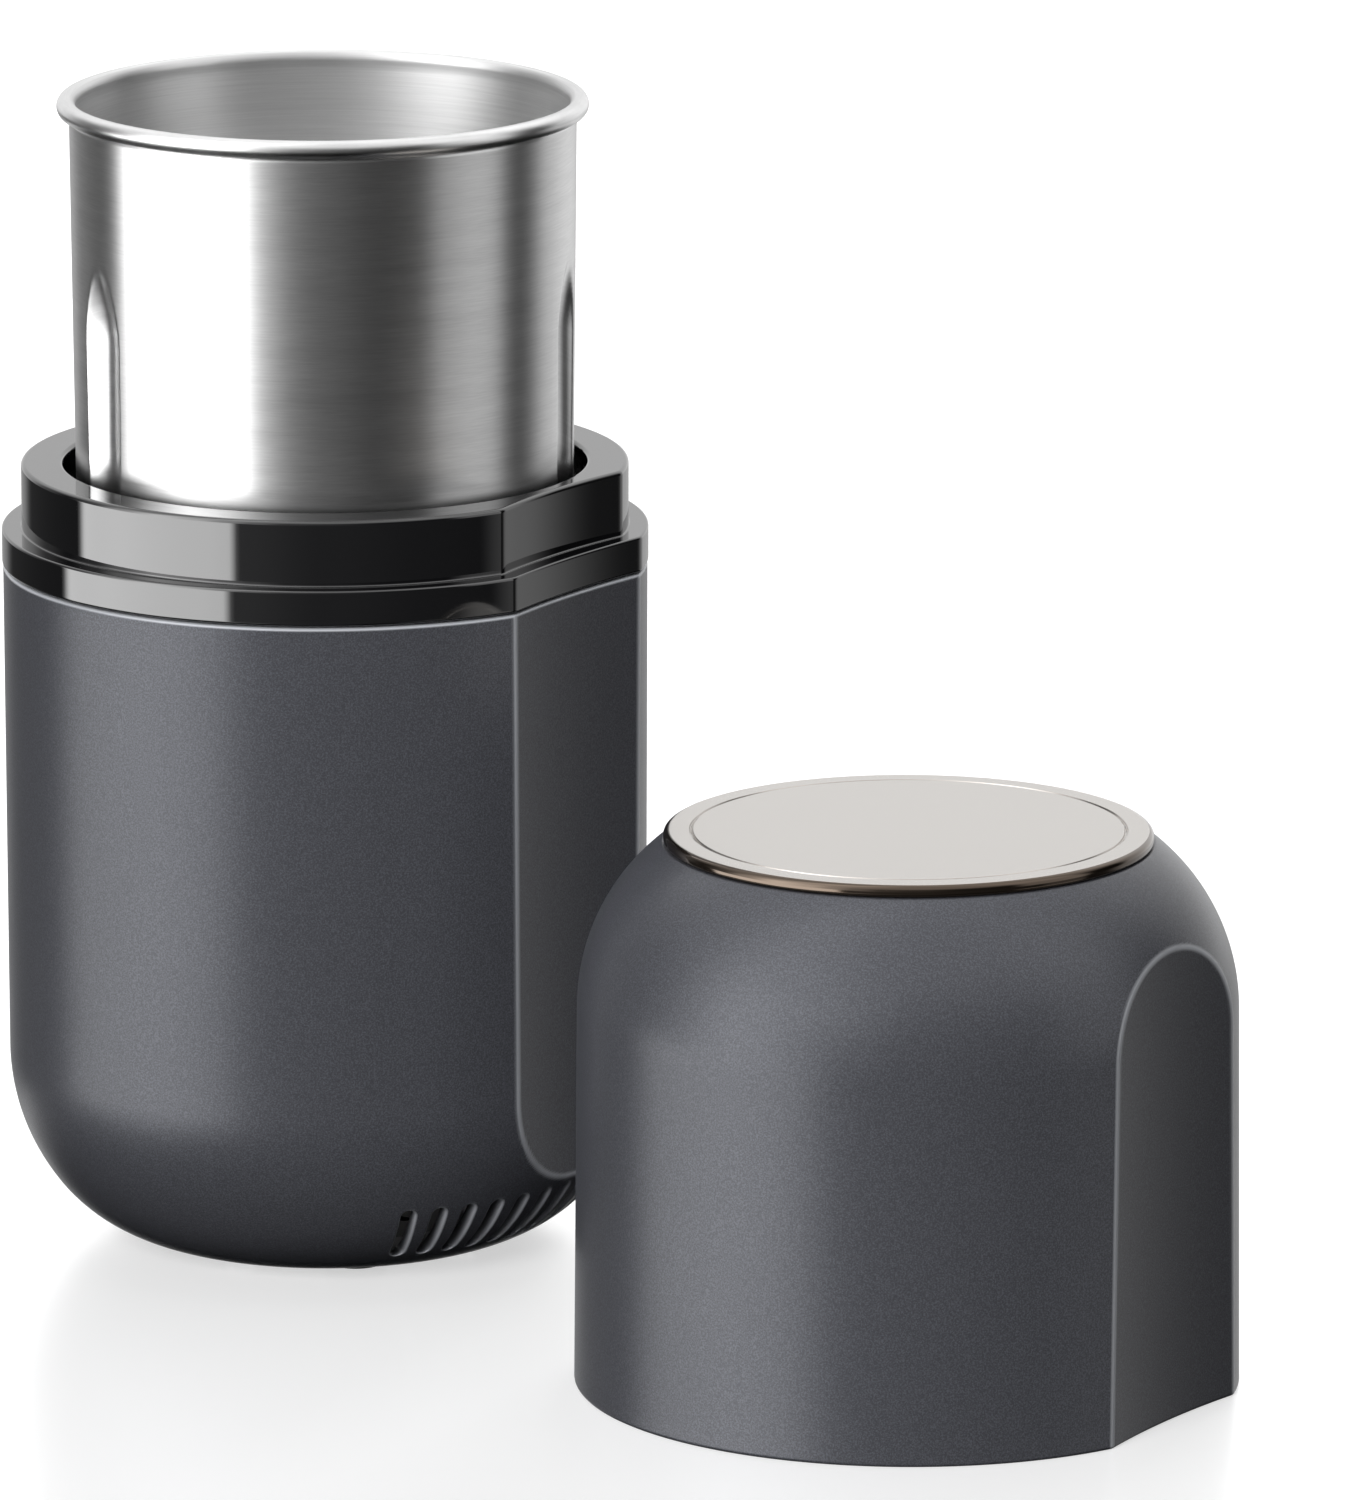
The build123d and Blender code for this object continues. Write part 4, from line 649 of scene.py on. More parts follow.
def flute_distance(angle, height, grow):
    """Distance to the nearest rod's near side. The rod's radius eases from full to a graze at the
    tip, and goes on shrinking above it."""
    graze = flute_circle - cup_radius(FLUTE_TIP)
    climb = (height - FLUTE_FULL) / (FLUTE_TIP - FLUTE_FULL)
    ease = np.clip(climb, 0, 1) ** 1.5
    shrunk = np.maximum(climb - 1, 0) * ROD_FADE
    rod = FLUTE_RADIUS + (graze - FLUTE_RADIUS) * ease - shrunk + grow
    sides = [near_side(angle - middle, flute_circle, rod) for middle in FLUTE_ANGLES]
    return np.minimum.reduce(sides)


def cup_piece():
    """Closed outline: floor, corner, wall, bead and down the inside, with the flutes cut in."""
    angle = []
    for here, ahead in zip(FLUTE_ANGLES, [*FLUTE_ANGLES[1:], FLUTE_ANGLES[0] + TURN]):
        left, right, following = here - FLUTE_SHARE, here + FLUTE_SHARE, ahead - FLUTE_SHARE
        angle += [np.linspace(left, right, 72, endpoint=False),
                  np.linspace(right, following, 56, endpoint=False)]
    angle = np.concatenate(angle)[None, :]
    bead_z, corner_z, small = CUP_TOP - BEAD_RADIUS, CUP_FLOOR + CUP_CORNER, CUP_CORNER - CUP_WALL
    outer_r = cup_radius(corner_z)
    quarter = np.radians(np.linspace(-90, 0, 9))
    corner = arc(outer_r - CUP_CORNER, corner_z, CUP_CORNER, quarter)
    corner_in = arc(outer_r - CUP_WALL - small, CUP_FLOOR + CUP_WALL + small, small, quarter[::-1])
    up, down = stretch(corner_z, bead_z - 1.25, 0.9)[1:], stretch(bead_z - 0.4, corner_z, 1.2)[:-1]
    floor_out = np.linspace(CUP_HOLE, corner[0, 0], 8)[:-1]
    floor_in = np.linspace(corner_in[-1, 0], CUP_HOLE, 8)[1:]
    outside = np.concatenate([pairs(floor_out, CUP_FLOOR), corner, pairs(cup_radius(up), up)])
    bead = arc(BEAD_CIRCLE, bead_z, BEAD_RADIUS, np.radians(np.linspace(-125, 180, 26)))
    inside = np.concatenate([pairs(cup_radius(down, CUP_WALL), down), corner_in,
                             pairs(floor_in, CUP_FLOOR + CUP_WALL)])
    loop = np.concatenate([outside, bead, inside])
    radius, height = loop[:, :1], loop[:, 1:]
    part = np.repeat([0, 1, 2], [len(outside), len(bead), len(inside)])[:, None]
    flutes = flute_distance(angle, height, np.where(part == 0, 0.0, CUP_WALL))
    placed = np.where(part == 1, radius, soft_min(radius, flutes, FLUTE_BLEND))
    return add_piece("steel_cup", [(around(angle, placed, height), True, True)],
                     "cup", "cup_steel", "grinding_cup")


steel_cup = cup_piece()

# %% [markdown]
# The cup's inside is brushed more coarsely than its outside, so it gets a finish of its own. Its
# faces are the ones that look towards the axis and lie within the wall.

# %% Pick the cup's inner faces
centres = read_rows(steel_cup.data.polygons, "center") / MM
facing = read_rows(steel_cup.data.polygons, "normal")
inwards = (facing * centres * (1, 1, 0)).sum(axis=1) < 0
within = np.hypot(centres[:, 0], centres[:, 1]) < CUP_RADIUS - CUP_WALL / 2
steel_cup.data.polygons.foreach_set("material_index", (inwards & within).astype(np.int32))
print(f"{(inwards & within).sum()} of the cup's faces are inside")

# %% [markdown]
# ## The lid
#
# A dome with a flat crown. Its straight wall meets one large arc, and the grip runs up into that
# arc and ends there by itself as a round arch, because the soft minimum hands over from the hollow
# to the dome. A step in the crown takes the glossy plate.

# %% Build the lid
lid_side = LID_RADIUS - LID_STRAIGHT * math.tan(LID_DRAFT)
dome_r = lid_side - LID_SHOULDER * math.cos(LID_DRAFT)
dome_z = LID_STRAIGHT - LID_SHOULDER * math.sin(LID_DRAFT)
crown_angle = math.acos((LID_CROWN - dome_r) / LID_SHOULDER)
lid_top = dome_z + LID_SHOULDER * math.sin(crown_angle)
print(f"lid crown at {lid_top:.2f} mm")


def leaning(height, inset=0.0):
    """The leaning wall's radius: radius at the foot less the height times the draft's tangent."""
    return LID_RADIUS - inset - height * math.tan(LID_DRAFT)


def lid_radius(height):
    """The lid's outline: the leaning wall, then centre + sqrt(arc radius^2 - rise^2)."""
    dome = dome_r + np.sqrt(np.maximum(LID_SHOULDER ** 2 - (height - dome_z) ** 2, 0))
    return np.where(height < LID_STRAIGHT, leaning(height), dome)


def lid_piece():
    """The dome as (radius, height) pairs up the outside and down the inside, each carried round
    with the grip at the same depth."""
    foot = rounded([(LID_RADIUS - LID_WALL, 0, 0), (LID_RADIUS, 0, 0.5), (LID_RADIUS, 3, 0)],
                   5, False)
    up, down = stretch(0.9, LID_STRAIGHT, 2.2), stretch(LID_STRAIGHT - 1, 0.0, 3.0)[:-1]
    dome = arc(dome_r, dome_z, LID_SHOULDER, np.linspace(LID_DRAFT, crown_angle, 100)[1:])
    recess, ledge = lid_top - RECESS_DEPTH, lid_top - LEDGE_DEPTH
    step = np.array([(LID_CROWN - HOLD, lid_top), (LID_CROWN - 0.4, lid_top),
                     (RECESS_RADIUS, lid_top), (RECESS_RADIUS, recess),
                     (LEDGE_RADIUS, recess), (LEDGE_RADIUS, ledge)])
    dome_in = arc(dome_r, dome_z, LID_SHOULDER - LID_WALL,
                  np.linspace(crown_angle - 0.1, LID_DRAFT, 24))
    dome_in = dome_in[dome_in[:, 1] < ledge]
    outside = np.concatenate([foot[:-1], pairs(leaning(up), up), dome])
    inside = np.concatenate([dome_in, pairs(leaning(down, LID_WALL), down)])
    loop = np.concatenate([outside, step, inside])
    radius, height = loop[:, :1], loop[:, 1:]
    part = np.repeat([0, 1, 2], [len(outside), len(step), len(inside)])[:, None]
    nominal = np.where(height < LID_STRAIGHT, leaning(height), radius)
    angle = follow_edge(grip_angles, np.maximum(nominal, GRIP_FACE))
    placed_out = soft_min(nominal, grip_distance(angle), GRIP_EDGE) - (nominal - radius)
    placed_in = soft_min(radius, grip_distance(angle, LID_WALL), GRIP_EDGE)
    placed = np.select([part == 0, part == 1], [placed_out, radius], placed_in)
    return add_piece("lid_dome", [(around(angle, placed, height, (LID_X, LID_Y)), True, True)],
                     "lid", "shell_paint", "lid_shell")


lid_dome = lid_piece()
# Painted highlight along the lid's grip rim.
mark_edge_highlight(lid_dome, lid_radius, (LID_X, LID_Y))

# %% [markdown]
# The plate on the crown is a glossy disc with a rounded rim and one hair-fine ring let into it.
# A disc is the simplest outline of all, but it has a pole in the middle, which the weld closes.
# Its rounded rim gets a second finish, a much darker colour that is a painted dark reflection.

# %% Build the top plate
GROOVE, GROOVE_DEPTH, PLATE_RIM = 0.3, 0.3, 0.75


def plate_piece():
    """Outline from the pole underneath, round the rim, across the groove and back to the pole."""
    angle = np.linspace(0, TURN, 256, endpoint=False)[None, :]
    low, high = lid_top + 0.05, lid_top + PLATE_THICK
    bed = high - GROOVE_DEPTH
    loop = rounded([(0.0, low, 0), (PLATE_RADIUS, low, 0.5), (PLATE_RADIUS, high, 0.9),
                    (PLATE_GROOVE + GROOVE, high, 0.08), (PLATE_GROOVE + GROOVE / 2, bed, 0.05),
                    (PLATE_GROOVE - GROOVE / 2, bed, 0.05), (PLATE_GROOVE - GROOVE, high, 0.08),
                    (16.0, high, 0), (0.0, high, 0)], 6, False)
    grid = around(angle, loop[:, :1], loop[:, 1:], (LID_X, LID_Y))
    return add_piece("crown_plate", [(grid, False, True)], "lid", "plate_gloss", "lid_top_plate")


crown_plate = plate_piece()
centres = read_rows(crown_plate.data.polygons, "center") / MM - (LID_X, LID_Y, 0)
# The rim's faces take the second finish, whose near-black colour is a painted dark reflection.
on_rim = np.hypot(centres[:, 0], centres[:, 1]) > PLATE_RADIUS - PLATE_RIM
crown_plate.data.polygons.foreach_set("material_index", on_rim.astype(np.int32))

# %% [markdown]
# ## Finishes
#
# A finish is more than a colour. Paint has flakes, steel has the lines the brush left, moulded
# plastic has a faint skin, and polished plastic is never quite evenly clean. Each of these effects
# is a node group that several materials share, and each material gives it its own values.

# %% Helpers for nodes
def feed(tree, node, **values):
    """Gives a node's inputs a number, a colour or another node's output; i0 is its first input."""
    for label, value in values.items():
        numbered = label[0] == "i" and label[1:].isdigit()
        socket = node.inputs[int(label[1:]) if numbered else label.replace("_", " ")]
        if isinstance(value, bpy.types.NodeSocket):
            tree.links.new(value, socket)
        else:
            socket.default_value = (*value, 1.0) if socket.type == "RGBA" else value
    return node


def place(tree, kind, settings=None, **values):
    """A new node with its settings and its inputs."""
    node = tree.nodes.new("ShaderNode" + kind)
    for label, value in (settings or {}).items():
        setattr(node, label, value)
    return feed(tree, node, **values)


def maths(tree, operation, first, second=0.0):
    """The output of one Math node."""
    return place(tree, "Math", {"operation": operation}, i0=first, i1=second).outputs[0]


def plus(tree, first, second):
    """Their sum."""
    return maths(tree, "ADD", first, second)


def times(tree, first, second):
    """Their product."""
    return maths(tree, "MULTIPLY", first, second)


def mix(tree, share, low, high):
    """A number that goes from low to high as the share goes from 0 to 1."""
    return place(tree, "Mix", i0=share, i2=low, i3=high).outputs[0]


def mix_colour(tree, share, low, high):
    """The same for a colour."""
    return place(tree, "Mix", {"data_type": "RGBA"}, i0=share, i6=low, i7=high).outputs[2]


def remap(tree, value, low, high, new_low=0.0, new_high=1.0, form="LINEAR"):
    """Carries a value from one range to another, and stops at the range's ends."""
    return place(tree, "MapRange", {"interpolation_type": form}, i0=value, i1=low, i2=high,
                 i3=new_low, i4=new_high).outputs[0]


def noise(tree, where, scale, detail, roughness=0.5):
    """Soft values about 0.5 that change from place to place, scale times in a metre."""
    return place(tree, "TexNoise", Vector=where, Scale=scale, Detail=detail,
                 Roughness=roughness).outputs[0]


# %% [markdown]
# A group's inputs and outputs are sockets on its own interface. Its patterns read a point's place
# on the piece itself, so that they stay put when the piece moves, and the sizes are given in
# millimetres.

# %% Helpers for groups
def new_group(name, **inputs):
    """A shader group with number inputs, and the sockets that its nodes take them from."""
    group = bpy.data.node_groups.new(name, "ShaderNodeTree")
    for label, value in inputs.items():
        group.interface.new_socket(name=label.replace("_", " "), in_out="INPUT",
                                   socket_type="NodeSocketFloat").default_value = value
    return group, group.nodes.new("NodeGroupInput").outputs


def put_out(group, **outputs):
    """Ends a group with its named number outputs."""
    for label in outputs:
        group.interface.new_socket(name=label, in_out="OUTPUT", socket_type="NodeSocketFloat")
    feed(group, group.nodes.new("NodeGroupOutput"), **outputs)
    return group


def on_piece(tree):
    """A point's place on its piece."""
    return place(tree, "TexCoord").outputs["Object"]


def per_metre(tree, millimetres):
    """How often a size in millimetres fits in a metre."""
    return maths(tree, "DIVIDE", 1000.0, millimetres)


# %% [markdown]
# Metallic paint: two sizes of noise. The fine one is the flake, a few tenths of a millimetre
# across; the coarse one keeps large areas from looking printed.

# %% Group: paint grain
def paint_grain():
    """The fine noise squeezed to specks, the coarse noise, and the fine noise again as height."""
    group, given = new_group("paint_grain", Flake_Size=0.35, Cloud_Size=9.0)
    where = on_piece(group)
    flake = noise(group, where, per_metre(group, given["Flake Size"]), 2.0, 0.7)
    cloud = noise(group, where, per_metre(group, given["Cloud Size"]), 1.0)
    return put_out(group, Flake=remap(group, flake, 0.42, 0.66), Cloud=cloud, Height=flake)


# %% [markdown]
# Turned or brushed steel: noise stretched into lines that run round the axis. Adding the radius to
# the height as the noise's long coordinate makes the same lines ring the wall and the floor.

# %% Group: brushed lines
def brushed_lines():
    """Noise at (x / length, y / length, (z + radius) / width), 0.65 fine and 0.35 broad."""
    group, given = new_group("brushed_lines", Line_Width=0.16, Line_Length=30.0)
    x, y, z = place(group, "SeparateXYZ", i0=on_piece(group)).outputs[:3]
    radius = maths(group, "SQRT", plus(group, times(group, x, x), times(group, y, y)))
    along, across = (per_metre(group, given[label]) for label in ("Line Length", "Line Width"))
    vector = place(group, "CombineXYZ", i0=times(group, x, along), i1=times(group, y, along),
                   i2=times(group, plus(group, z, radius), across)).outputs[0]
    broad = place(group, "VectorMath", {"operation": "SCALE"}, i0=vector, Scale=0.12).outputs[0]
    fine, bands = noise(group, vector, 1.0, 3.0, 0.65), noise(group, broad, 1.0, 2.0)
    lines = plus(group, times(group, fine, 0.65), times(group, bands, 0.35))
    return put_out(group, Lines=lines, Height=fine)


# %% [markdown]
# Handling leaves the faintest film on polished plastic, and moulds leave a fine skin on the rest.
# Both are small changes of roughness and height.

# %% Groups: handling film and moulded skin
def handling_film():
    """Slow noise carried to a roughness from Low to High."""
    group, given = new_group("handling_film", Low=0.03, High=0.10)
    cloud = noise(group, on_piece(group), 38.0, 4.0, 0.6)
    return put_out(group, Roughness=remap(group, cloud, 0.4, 0.75, given["Low"], given["High"]))


def moulded_skin():
    """Fine noise as height, slow noise as shade, and a roughness that the slow noise moves."""
    group, given = new_group("moulded_skin", Grain=0.25, Roughness=0.45)
    where = on_piece(group)
    cells = noise(group, where, per_metre(group, given["Grain"]), 2.0)
    slow = noise(group, where, 55.0, 3.0)
    drift = times(group, maths(group, "SUBTRACT", slow, 0.5), 0.16)
    rough = plus(group, given["Roughness"], drift)
    return put_out(group, Shade=slow, Roughness=rough, Height=cells)


GROUPS = {make.__name__: make()
          for make in (paint_grain, brushed_lines, handling_film, moulded_skin)}
print("groups:", ", ".join(GROUPS))

# %% [markdown]
# A material is one shader. What is the same all over is set on the shader's own sockets, and what
# changes over the surface comes from a group.

# %% Helpers for materials
def new_finish(name, **values):
    """A material with one Principled shader, its plain values set on the shader's own sockets."""
    finish = bpy.data.materials.new(name)
    finish.use_nodes = True
    tree = finish.node_tree
    return finish, tree, feed(tree, tree.nodes["Principled BSDF"], **values)


def use_group(tree, name, **values):
    """The outputs of one of the shared groups, with this material's values."""
    return place(tree, "Group", {"node_tree": GROUPS[name]}, **values).outputs


def relief(tree, height, depth):
    """The output of a Bump node whose height is so many millimetres from low to high."""
    return place(tree, "Bump", Height=height, Strength=1.0, Distance=depth * MM).outputs[0]


# %% [markdown]
# ### Slate paint
#
# Dark blue-grey with a fine metallic flake and a soft sheen. The flake lightens the colour in
# specks and tilts them a little, so that the highlight breaks up into a grain. The marked edges of
# the grip, the vents and the rim get a painted highlight, a pale colour. The roughness stays
# above 0.275 everywhere, because Cycles' denoiser treats a smoother surface as a mirror, and the
# border between the two would show as a faint spot.

# %% Finish: slate paint
PAINT_DARK, PAINT_FLAKE = (0.078, 0.080, 0.091), (0.132, 0.137, 0.158)
# The pale colour below is a painted highlight for the marked edges.
PAINT_EDGE_HIGHLIGHT = (0.62, 0.64, 0.68)
PAINT_ROUGHNESS, PAINT_DRIFT = 0.276, 0.035


def slate_paint():
    """Flakes between two slates, a pale painted highlight on the marked edges, and a drifting
    roughness.
    """
    finish, tree, shader = new_finish("slate_paint", Metallic=0.14, Specular_IOR_Level=0.26)
    grain = use_group(tree, "paint_grain", Flake_Size=0.24, Cloud_Size=14.0)
    # The attribute marks where the painted highlight turns the slate pale.
    edge = place(tree, "Attribute", {"attribute_name": "edge_highlight"}).outputs["Fac"]
    flecked = mix_colour(tree, grain["Flake"], PAINT_DARK, PAINT_FLAKE)
    feed(tree, shader, Base_Color=mix_colour(tree, edge, flecked, PAINT_EDGE_HIGHLIGHT),
         Roughness=plus(tree, times(tree, grain["Cloud"], PAINT_DRIFT), PAINT_ROUGHNESS),
         Normal=relief(tree, grain["Height"], 0.02))
    return finish


# %% [markdown]
# ### Polished and moulded plastics
#
# The piano black has a high index so that its reflections read as lacquer, and the bronze plate is
# a tinted mirror under a clear coat. Every moulded plastic or rubber drifts slightly in colour and
# has a fine skin. The plated and cast metals of the inside are the same with a metal's shine.

# %% Finishes: plastics
BRONZE = {"Metallic": 0.9, "Coat_Weight": 0.3, "Coat_Roughness": 0.03}


def polished(name, colour, low, high, **values):
    """One colour under a film of handling, which moves the roughness between low and high."""
    finish, tree, shader = new_finish(name, Base_Color=colour, **values)
    feed(tree, shader, Roughness=use_group(tree, "handling_film", Low=low, High=high)[0])
    return finish


def skinned(name, colour, roughness, grain=0.3, depth=0.006, **values):
    """A colour from 0.88 to 1.14 of its brightness, with a fine skin."""
    finish, tree, shader = new_finish(name, **values)
    skin = use_group(tree, "moulded_skin", Grain=grain, Roughness=roughness)
    dark, light = [0.88 * c for c in colour], [1.14 * c for c in colour]
    feed(tree, shader, Base_Color=mix_colour(tree, skin["Shade"], dark, light),
         Roughness=skin["Roughness"], Normal=relief(tree, skin["Height"], depth))
    return finish


def plain_metal(name, colour, roughness, grain=0.4, depth=0.004):
    """A skin in metal."""
    return skinned(name, colour, roughness, grain, depth, Metallic=1.0)


# %% [markdown]
# ### Brushed metals
#
# Brushing makes steel shine in a streak across its lines. The shader's anisotropy gives the
# streak, and the line group gives the lines themselves, in colour, roughness and height.

# %% Finishes: brushed metals, and the table of all finishes
LINE_DRIFT = 0.08


def brushed(name, colour, roughness, width, length, depth, anisotropy, contrast):
    """A colour from 1 - contrast to 1 + contrast of its brightness, with lines round the axis."""
    finish, tree, shader = new_finish(name, Metallic=1.0, Anisotropic=anisotropy,
                                      Anisotropic_Rotation=0.25)
    lines = use_group(tree, "brushed_lines", Line_Width=width, Line_Length=length)
    dark, light = [(1 - contrast) * c for c in colour], [min(1, (1 + contrast) * c) for c in colour]
    drift = times(tree, lines["Lines"], LINE_DRIFT)
    feed(tree, shader, Base_Color=mix_colour(tree, lines["Lines"], dark, light),
         Roughness=plus(tree, drift, roughness - LINE_DRIFT / 2),
         Normal=relief(tree, lines["Height"], depth))
    return finish


FINISHES = {
    "shell_paint": slate_paint(),
    "collar_gloss": polished("piano_black", (0.006, 0.006, 0.007), 0.025, 0.07, IOR=1.85),
    "plate_gloss": polished("champagne_plate", (0.52, 0.49, 0.46), 0.25, 0.27, **BRONZE),
    # The rim's near-black bronze is a painted dark reflection.
    "plate_rim": polished("rim_dark_reflection", (0.085, 0.062, 0.045), 0.08, 0.12, **BRONZE),
    "cup_steel": brushed("cup_brushed_steel", [0.68] * 3, 0.31, 0.24, 5.0, 0.0014, 0.6, 0.26),
    "cup_inside": brushed("cup_inside_steel", [0.70] * 3, 0.45, 0.3, 16.0, 0.003, 0.85, 0.24),
    "blade_steel": brushed("blade_ground_steel", (0.62, 0.62, 0.63), 0.22, 0.1, 12.0, 0.002, 0.4,
                           0.08),
    "shaft_steel": brushed("ground_shaft", (0.56, 0.56, 0.57), 0.2, 0.12, 20.0, 0.001, 0.5, 0.06),
    "black_plastic": skinned("black_moulding", (0.018, 0.018, 0.020), 0.40),
    "fan_plastic": skinned("fan_nylon", (0.66, 0.64, 0.58), 0.45),
    "rubber_black": skinned("black_rubber", [0.022] * 3, 0.68, 0.5, 0.012),
    "silicone": skinned("seal_silicone", (0.62, 0.63, 0.63), 0.5, 0.5, 0.004,
                        Subsurface_Weight=0.15),
    "carbon": skinned("pressed_carbon", [0.03] * 3, 0.6),
    "board": skinned("board_green", (0.02, 0.13, 0.05), 0.35),
    "component_yellow": skinned("capacitor_yellow", (0.60, 0.38, 0.04), 0.35),
    "component_white": skinned("cutout_white", (0.70, 0.70, 0.67), 0.4),
    "switch_red": skinned("switch_red", (0.35, 0.02, 0.015), 0.35),
    "zinc_steel": plain_metal("zinc_plate", (0.60, 0.60, 0.62), 0.32),
    "bracket_alloy": plain_metal("cast_alloy", (0.55, 0.55, 0.56), 0.45, 0.8, 0.02),
    "lamination": plain_metal("varnished_iron", (0.20, 0.20, 0.21), 0.45),
    "copper": plain_metal("enamelled_copper", (0.72, 0.32, 0.14), 0.3),
    "brass": plain_metal("bright_brass", (0.75, 0.55, 0.22), 0.28),
    "bronze": plain_metal("sintered_bronze", (0.45, 0.30, 0.14), 0.5, 0.3, 0.01),
}

# %% [markdown]
# Every solid, shown or hidden inside, takes the finish of its slot, and so does every new surface.
# The cup and the top plate have a second finish, for the faces that were picked for it.

# %% Give each piece its finish
SLOT_OF_NODE = {part["node"]: part["material_slot"] for part in frame["record"]["subparts"]}
for name, node in frame["nodes"].items():
    node.data.materials.clear()
    node.data.materials.append(FINISHES[SLOT_OF_NODE[name]])
for piece, *slots in ((housing, "shell_paint"), (lid_dome, "shell_paint"),
                      (collar_ring, "collar_gloss"), (lift_spring, "zinc_steel"),
                      (steel_cup, "cup_steel", "cup_inside"),
                      (crown_plate, "plate_gloss", "plate_rim")):
    for slot in slots:
        piece.data.materials.append(FINISHES[slot])
print("finishes:", len(FINISHES))

# %% [markdown]
# ## The studio
#
# The floor is white paper. Its colour does most of the work, and a little glow that only the
# camera sees lifts it to white without adding any light to the grinder. It has a pearly gloss, so
# it keeps both the shadow and a soft reflection. From below the paper is clear, so that the feet
# and the cover can be looked at.

# %% Floor
FLOOR_HALF, FLOOR_GLOW = 9000.0, 0.56

corners = np.array([[-1, -1, 0], [1, -1, 0], [1, 1, 0], [-1, 1, 0]]) * FLOOR_HALF * MM
floor_mesh = bpy.data.meshes.new("floor")
floor_mesh.from_pydata(corners.tolist(), [], [(0, 1, 2, 3)])
finish, tree, shader = new_finish("floor_white", Base_Color=[0.80] * 3, Roughness=0.25,
                                  Metallic=0.24)
glow = times(tree, place(tree, "LightPath").outputs["Is Camera Ray"], FLOOR_GLOW)
glow = place(tree, "Emission", Color=(1, 1, 1), Strength=glow).outputs[0]
above = place(tree, "AddShader", i0=shader.outputs[0], i1=glow).outputs[0]
below = place(tree, "BsdfTransparent").outputs[0]
turned_away = place(tree, "NewGeometry").outputs["Backfacing"]
paper = place(tree, "MixShader", i0=turned_away, i1=above, i2=below).outputs[0]
feed(tree, tree.nodes["Material Output"], Surface=paper)
floor_mesh.materials.append(finish)
floor = in_scene("floor", floor_mesh)
floor.visible_glossy = floor.visible_diffuse = False
print("floor:", 2 * FLOOR_HALF * MM, "m wide")

# %% [markdown]
# Polished things show the room, so the room is drawn once in the world: tall soft panels at a few
# compass angles with dark gaps between them. An upright polished wall, seen from a little above,
# mirrors only a low band of the room. That band has panels of its own, which draw the collar's
# reflections. A second set fills the walls above and below it, for the blurred shine of the paint
# and the steel. The walls run into a plain ceiling overhead and fade to black underfoot. Rays that
# gather light see grey above the horizon and little below it, which keeps the rounded undersides
# dark, and the camera sees white.

# %% World
VIEW_AZIMUTH = math.radians(34.2)
PANELS = [(-180, 0.5), (-162, 0.4), (-148, 0.06), (-108, 0.04), (-103, 4.4), (-80, 5.0),
          (-46, 4.8), (-37, 4.6), (-33, 0.2), (0, 0.09), (40, 0.05), (60, 0.04), (70, 0.3),
          (86, 0.3), (92, 0.03), (102, 0.05), (122, 0.6), (150, 0.8), (180, 0.5)]
WALLS = [(-180, 1.0), (-150, 1.0), (-130, 0.3), (-114, 0.05), (-98, 0.4), (-84, 2.2), (-66, 5.0),
         (-50, 3.8), (-38, 2.2), (-28, 1.0), (-14, 0.3), (0, 0.18), (24, 0.04), (46, 0.03),
         (57, 0.9), (84, 1.1), (94, 0.02), (112, 0.02), (124, 0.9), (146, 1.2), (180, 1.0)]
BAND_FOOT, BAND_HEAD = (-0.33, -0.28), (-0.16, -0.10)
WALL_FOOT, WALL_HEAD = (-0.5, -0.3), (0.25, 0.75)
CEILING_SHARE, CEILING_LIGHT = 0.4, 1.1
GREY_RISE, GREY_BELOW, GREY_ABOVE = (-0.3, 0.25), 0.03, 0.14


def panel_ramp(tree, share, stops):
    """Brightness against the angle from the lens, read off a colour ramp."""
    top = max(level for angle, level in stops)
    ramp = place(tree, "ValToRGB", i0=share)
    ramp.color_ramp.interpolation = "EASE"
    elements = ramp.color_ramp.elements
    while len(elements) < len(stops):
        elements.new(0.5)
    for element, (angle, level) in zip(elements, stops):
        element.position = (angle + 180) / 360
        element.color = (level / top, level / top, level / top, 1)
    return times(tree, ramp.outputs[0], top)


def studio_room(tree):
    """Panels by compass angle, blended to a plain ceiling overhead and to a dark floor below."""
    direction = place(tree, "TexCoord").outputs["Generated"]
    x, y, z = place(tree, "SeparateXYZ", i0=direction).outputs[:3]
    sine, cosine = math.sin(VIEW_AZIMUTH), math.cos(VIEW_AZIMUTH)
    ahead = maths(tree, "SUBTRACT", times(tree, x, sine), times(tree, y, cosine))
    right = plus(tree, times(tree, x, cosine), times(tree, y, sine))
    compass = maths(tree, "DIVIDE", maths(tree, "ARCTAN2", right, ahead), TURN)
    share = plus(tree, compass, 0.5)

    def fade(span):
        """0 below a span of the direction's height, 1 above it, smooth between."""
        return remap(tree, z, *span, form="SMOOTHSTEP")

    band = maths(tree, "SUBTRACT", fade(BAND_FOOT), fade(BAND_HEAD))
    walls = panel_ramp(tree, share, WALLS)
    ceiling = plus(tree, times(tree, walls, CEILING_SHARE), CEILING_LIGHT)
    walls = mix(tree, band, walls, panel_ramp(tree, share, PANELS))
    room = mix(tree, fade(WALL_HEAD), times(tree, walls, fade(WALL_FOOT)), ceiling)
    grey = mix(tree, fade(GREY_RISE), GREY_BELOW, GREY_ABOVE)
    rays = place(tree, "LightPath").outputs
    mirror = maths(tree, "MAXIMUM", rays["Is Glossy Ray"], rays["Is Transmission Ray"])
    level = mix(tree, rays["Is Camera Ray"], mix(tree, mirror, grey, room), 1.0)
    background = place(tree, "Background", Color=(1, 1, 1), Strength=level)
    place(tree, "OutputWorld", Surface=background.outputs[0])


world = bpy.data.worlds.new("studio")
world.use_nodes = True
world.node_tree.nodes.clear()
bpy.context.scene.world = world
studio_room(world.node_tree)
print("room:", len(PANELS), "stops in the band,", len(WALLS), "on the walls")

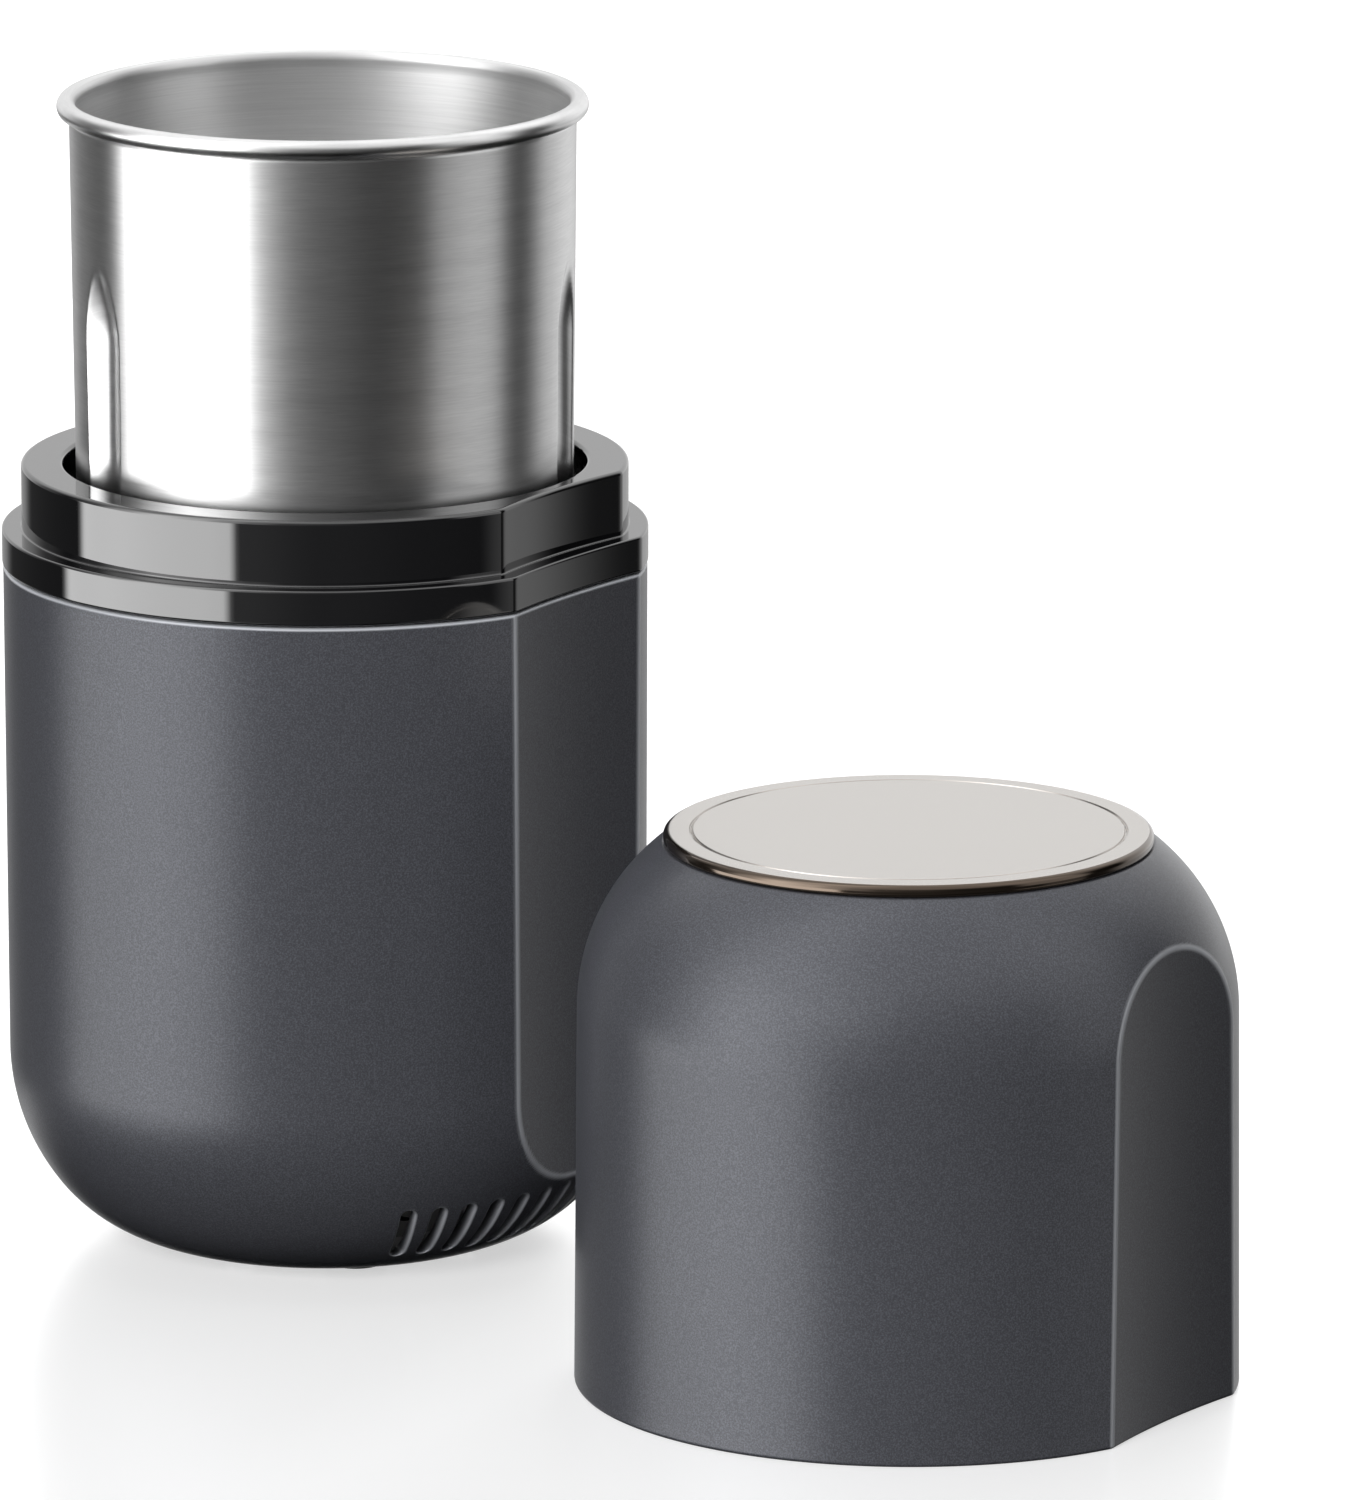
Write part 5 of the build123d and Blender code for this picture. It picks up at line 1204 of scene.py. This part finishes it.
# %% [markdown]
# Three large lamps shape the matt surfaces: one from the left of the lens, one from behind and a
# weak one overhead. They light the scene but don't show in mirrors, where the panels do. A lamp's
# place is its angle from the lens, its height above the target and its distance from it.

# %% Lamps
TARGET = np.array([0.05, -0.02, 0.08])
LAMPS = {"lamp_front": (-25, 0.7, 1.6, 0.9, 9.6), "lamp_back": (168, 0.6, 1.6, 1.0, 6.0),
         "lamp_top": (180, 1.8, 0.3, 1.2, 1.2)}

for name, (azimuth, height, distance, size, radiance) in LAMPS.items():
    angle = VIEW_AZIMUTH + math.radians(azimuth)
    spot = TARGET + np.array([math.sin(angle) * distance, -math.cos(angle) * distance, height])
    lamp = bpy.data.lights.new(name, "AREA")
    lamp.size = size
    lamp.energy = radiance * math.pi * size * size
    holder = in_scene(name, lamp)
    holder.location = spot
    holder.rotation_euler = Vector(TARGET - spot).to_track_quat("-Z", "Y").to_euler()
    holder.visible_glossy = holder.visible_camera = False
    print(f"{name}: {lamp.energy:.1f} W, {size} m wide")

# %% [markdown]
# ## The camera
#
# A long lens from about two metres, a little above the rim and turned to the plain side of the
# base. Its place is measured from the flange's underside, and a yaw and a pitch then turn it, so
# that base and lid share the frame.

# %% Camera
LENS, SENSOR, DISTANCE, CLIP_END = 332.2, 36.0, 2.068, 50.0
ELEVATION, YAW, PITCH = math.radians(12.13), math.radians(1.4983), math.radians(12.9308)

level = math.cos(ELEVATION)
toward = np.array([math.sin(VIEW_AZIMUTH) * level, -math.cos(VIEW_AZIMUTH) * level,
                   math.sin(ELEVATION)])
view = bpy.data.cameras.new("camera")
view.lens, view.sensor_width, view.clip_end = LENS, SENSOR, CLIP_END
camera = in_scene("camera", view)
camera.location = np.array([0, 0, FLANGE_BOTTOM * MM]) + toward * DISTANCE
camera.rotation_euler = (math.pi / 2 - PITCH, 0, VIEW_AZIMUTH - YAW)
bpy.context.scene.camera = camera
bpy.context.scene.view_settings.view_transform = "Standard"
print("camera at", [round(v, 3) for v in camera.location])
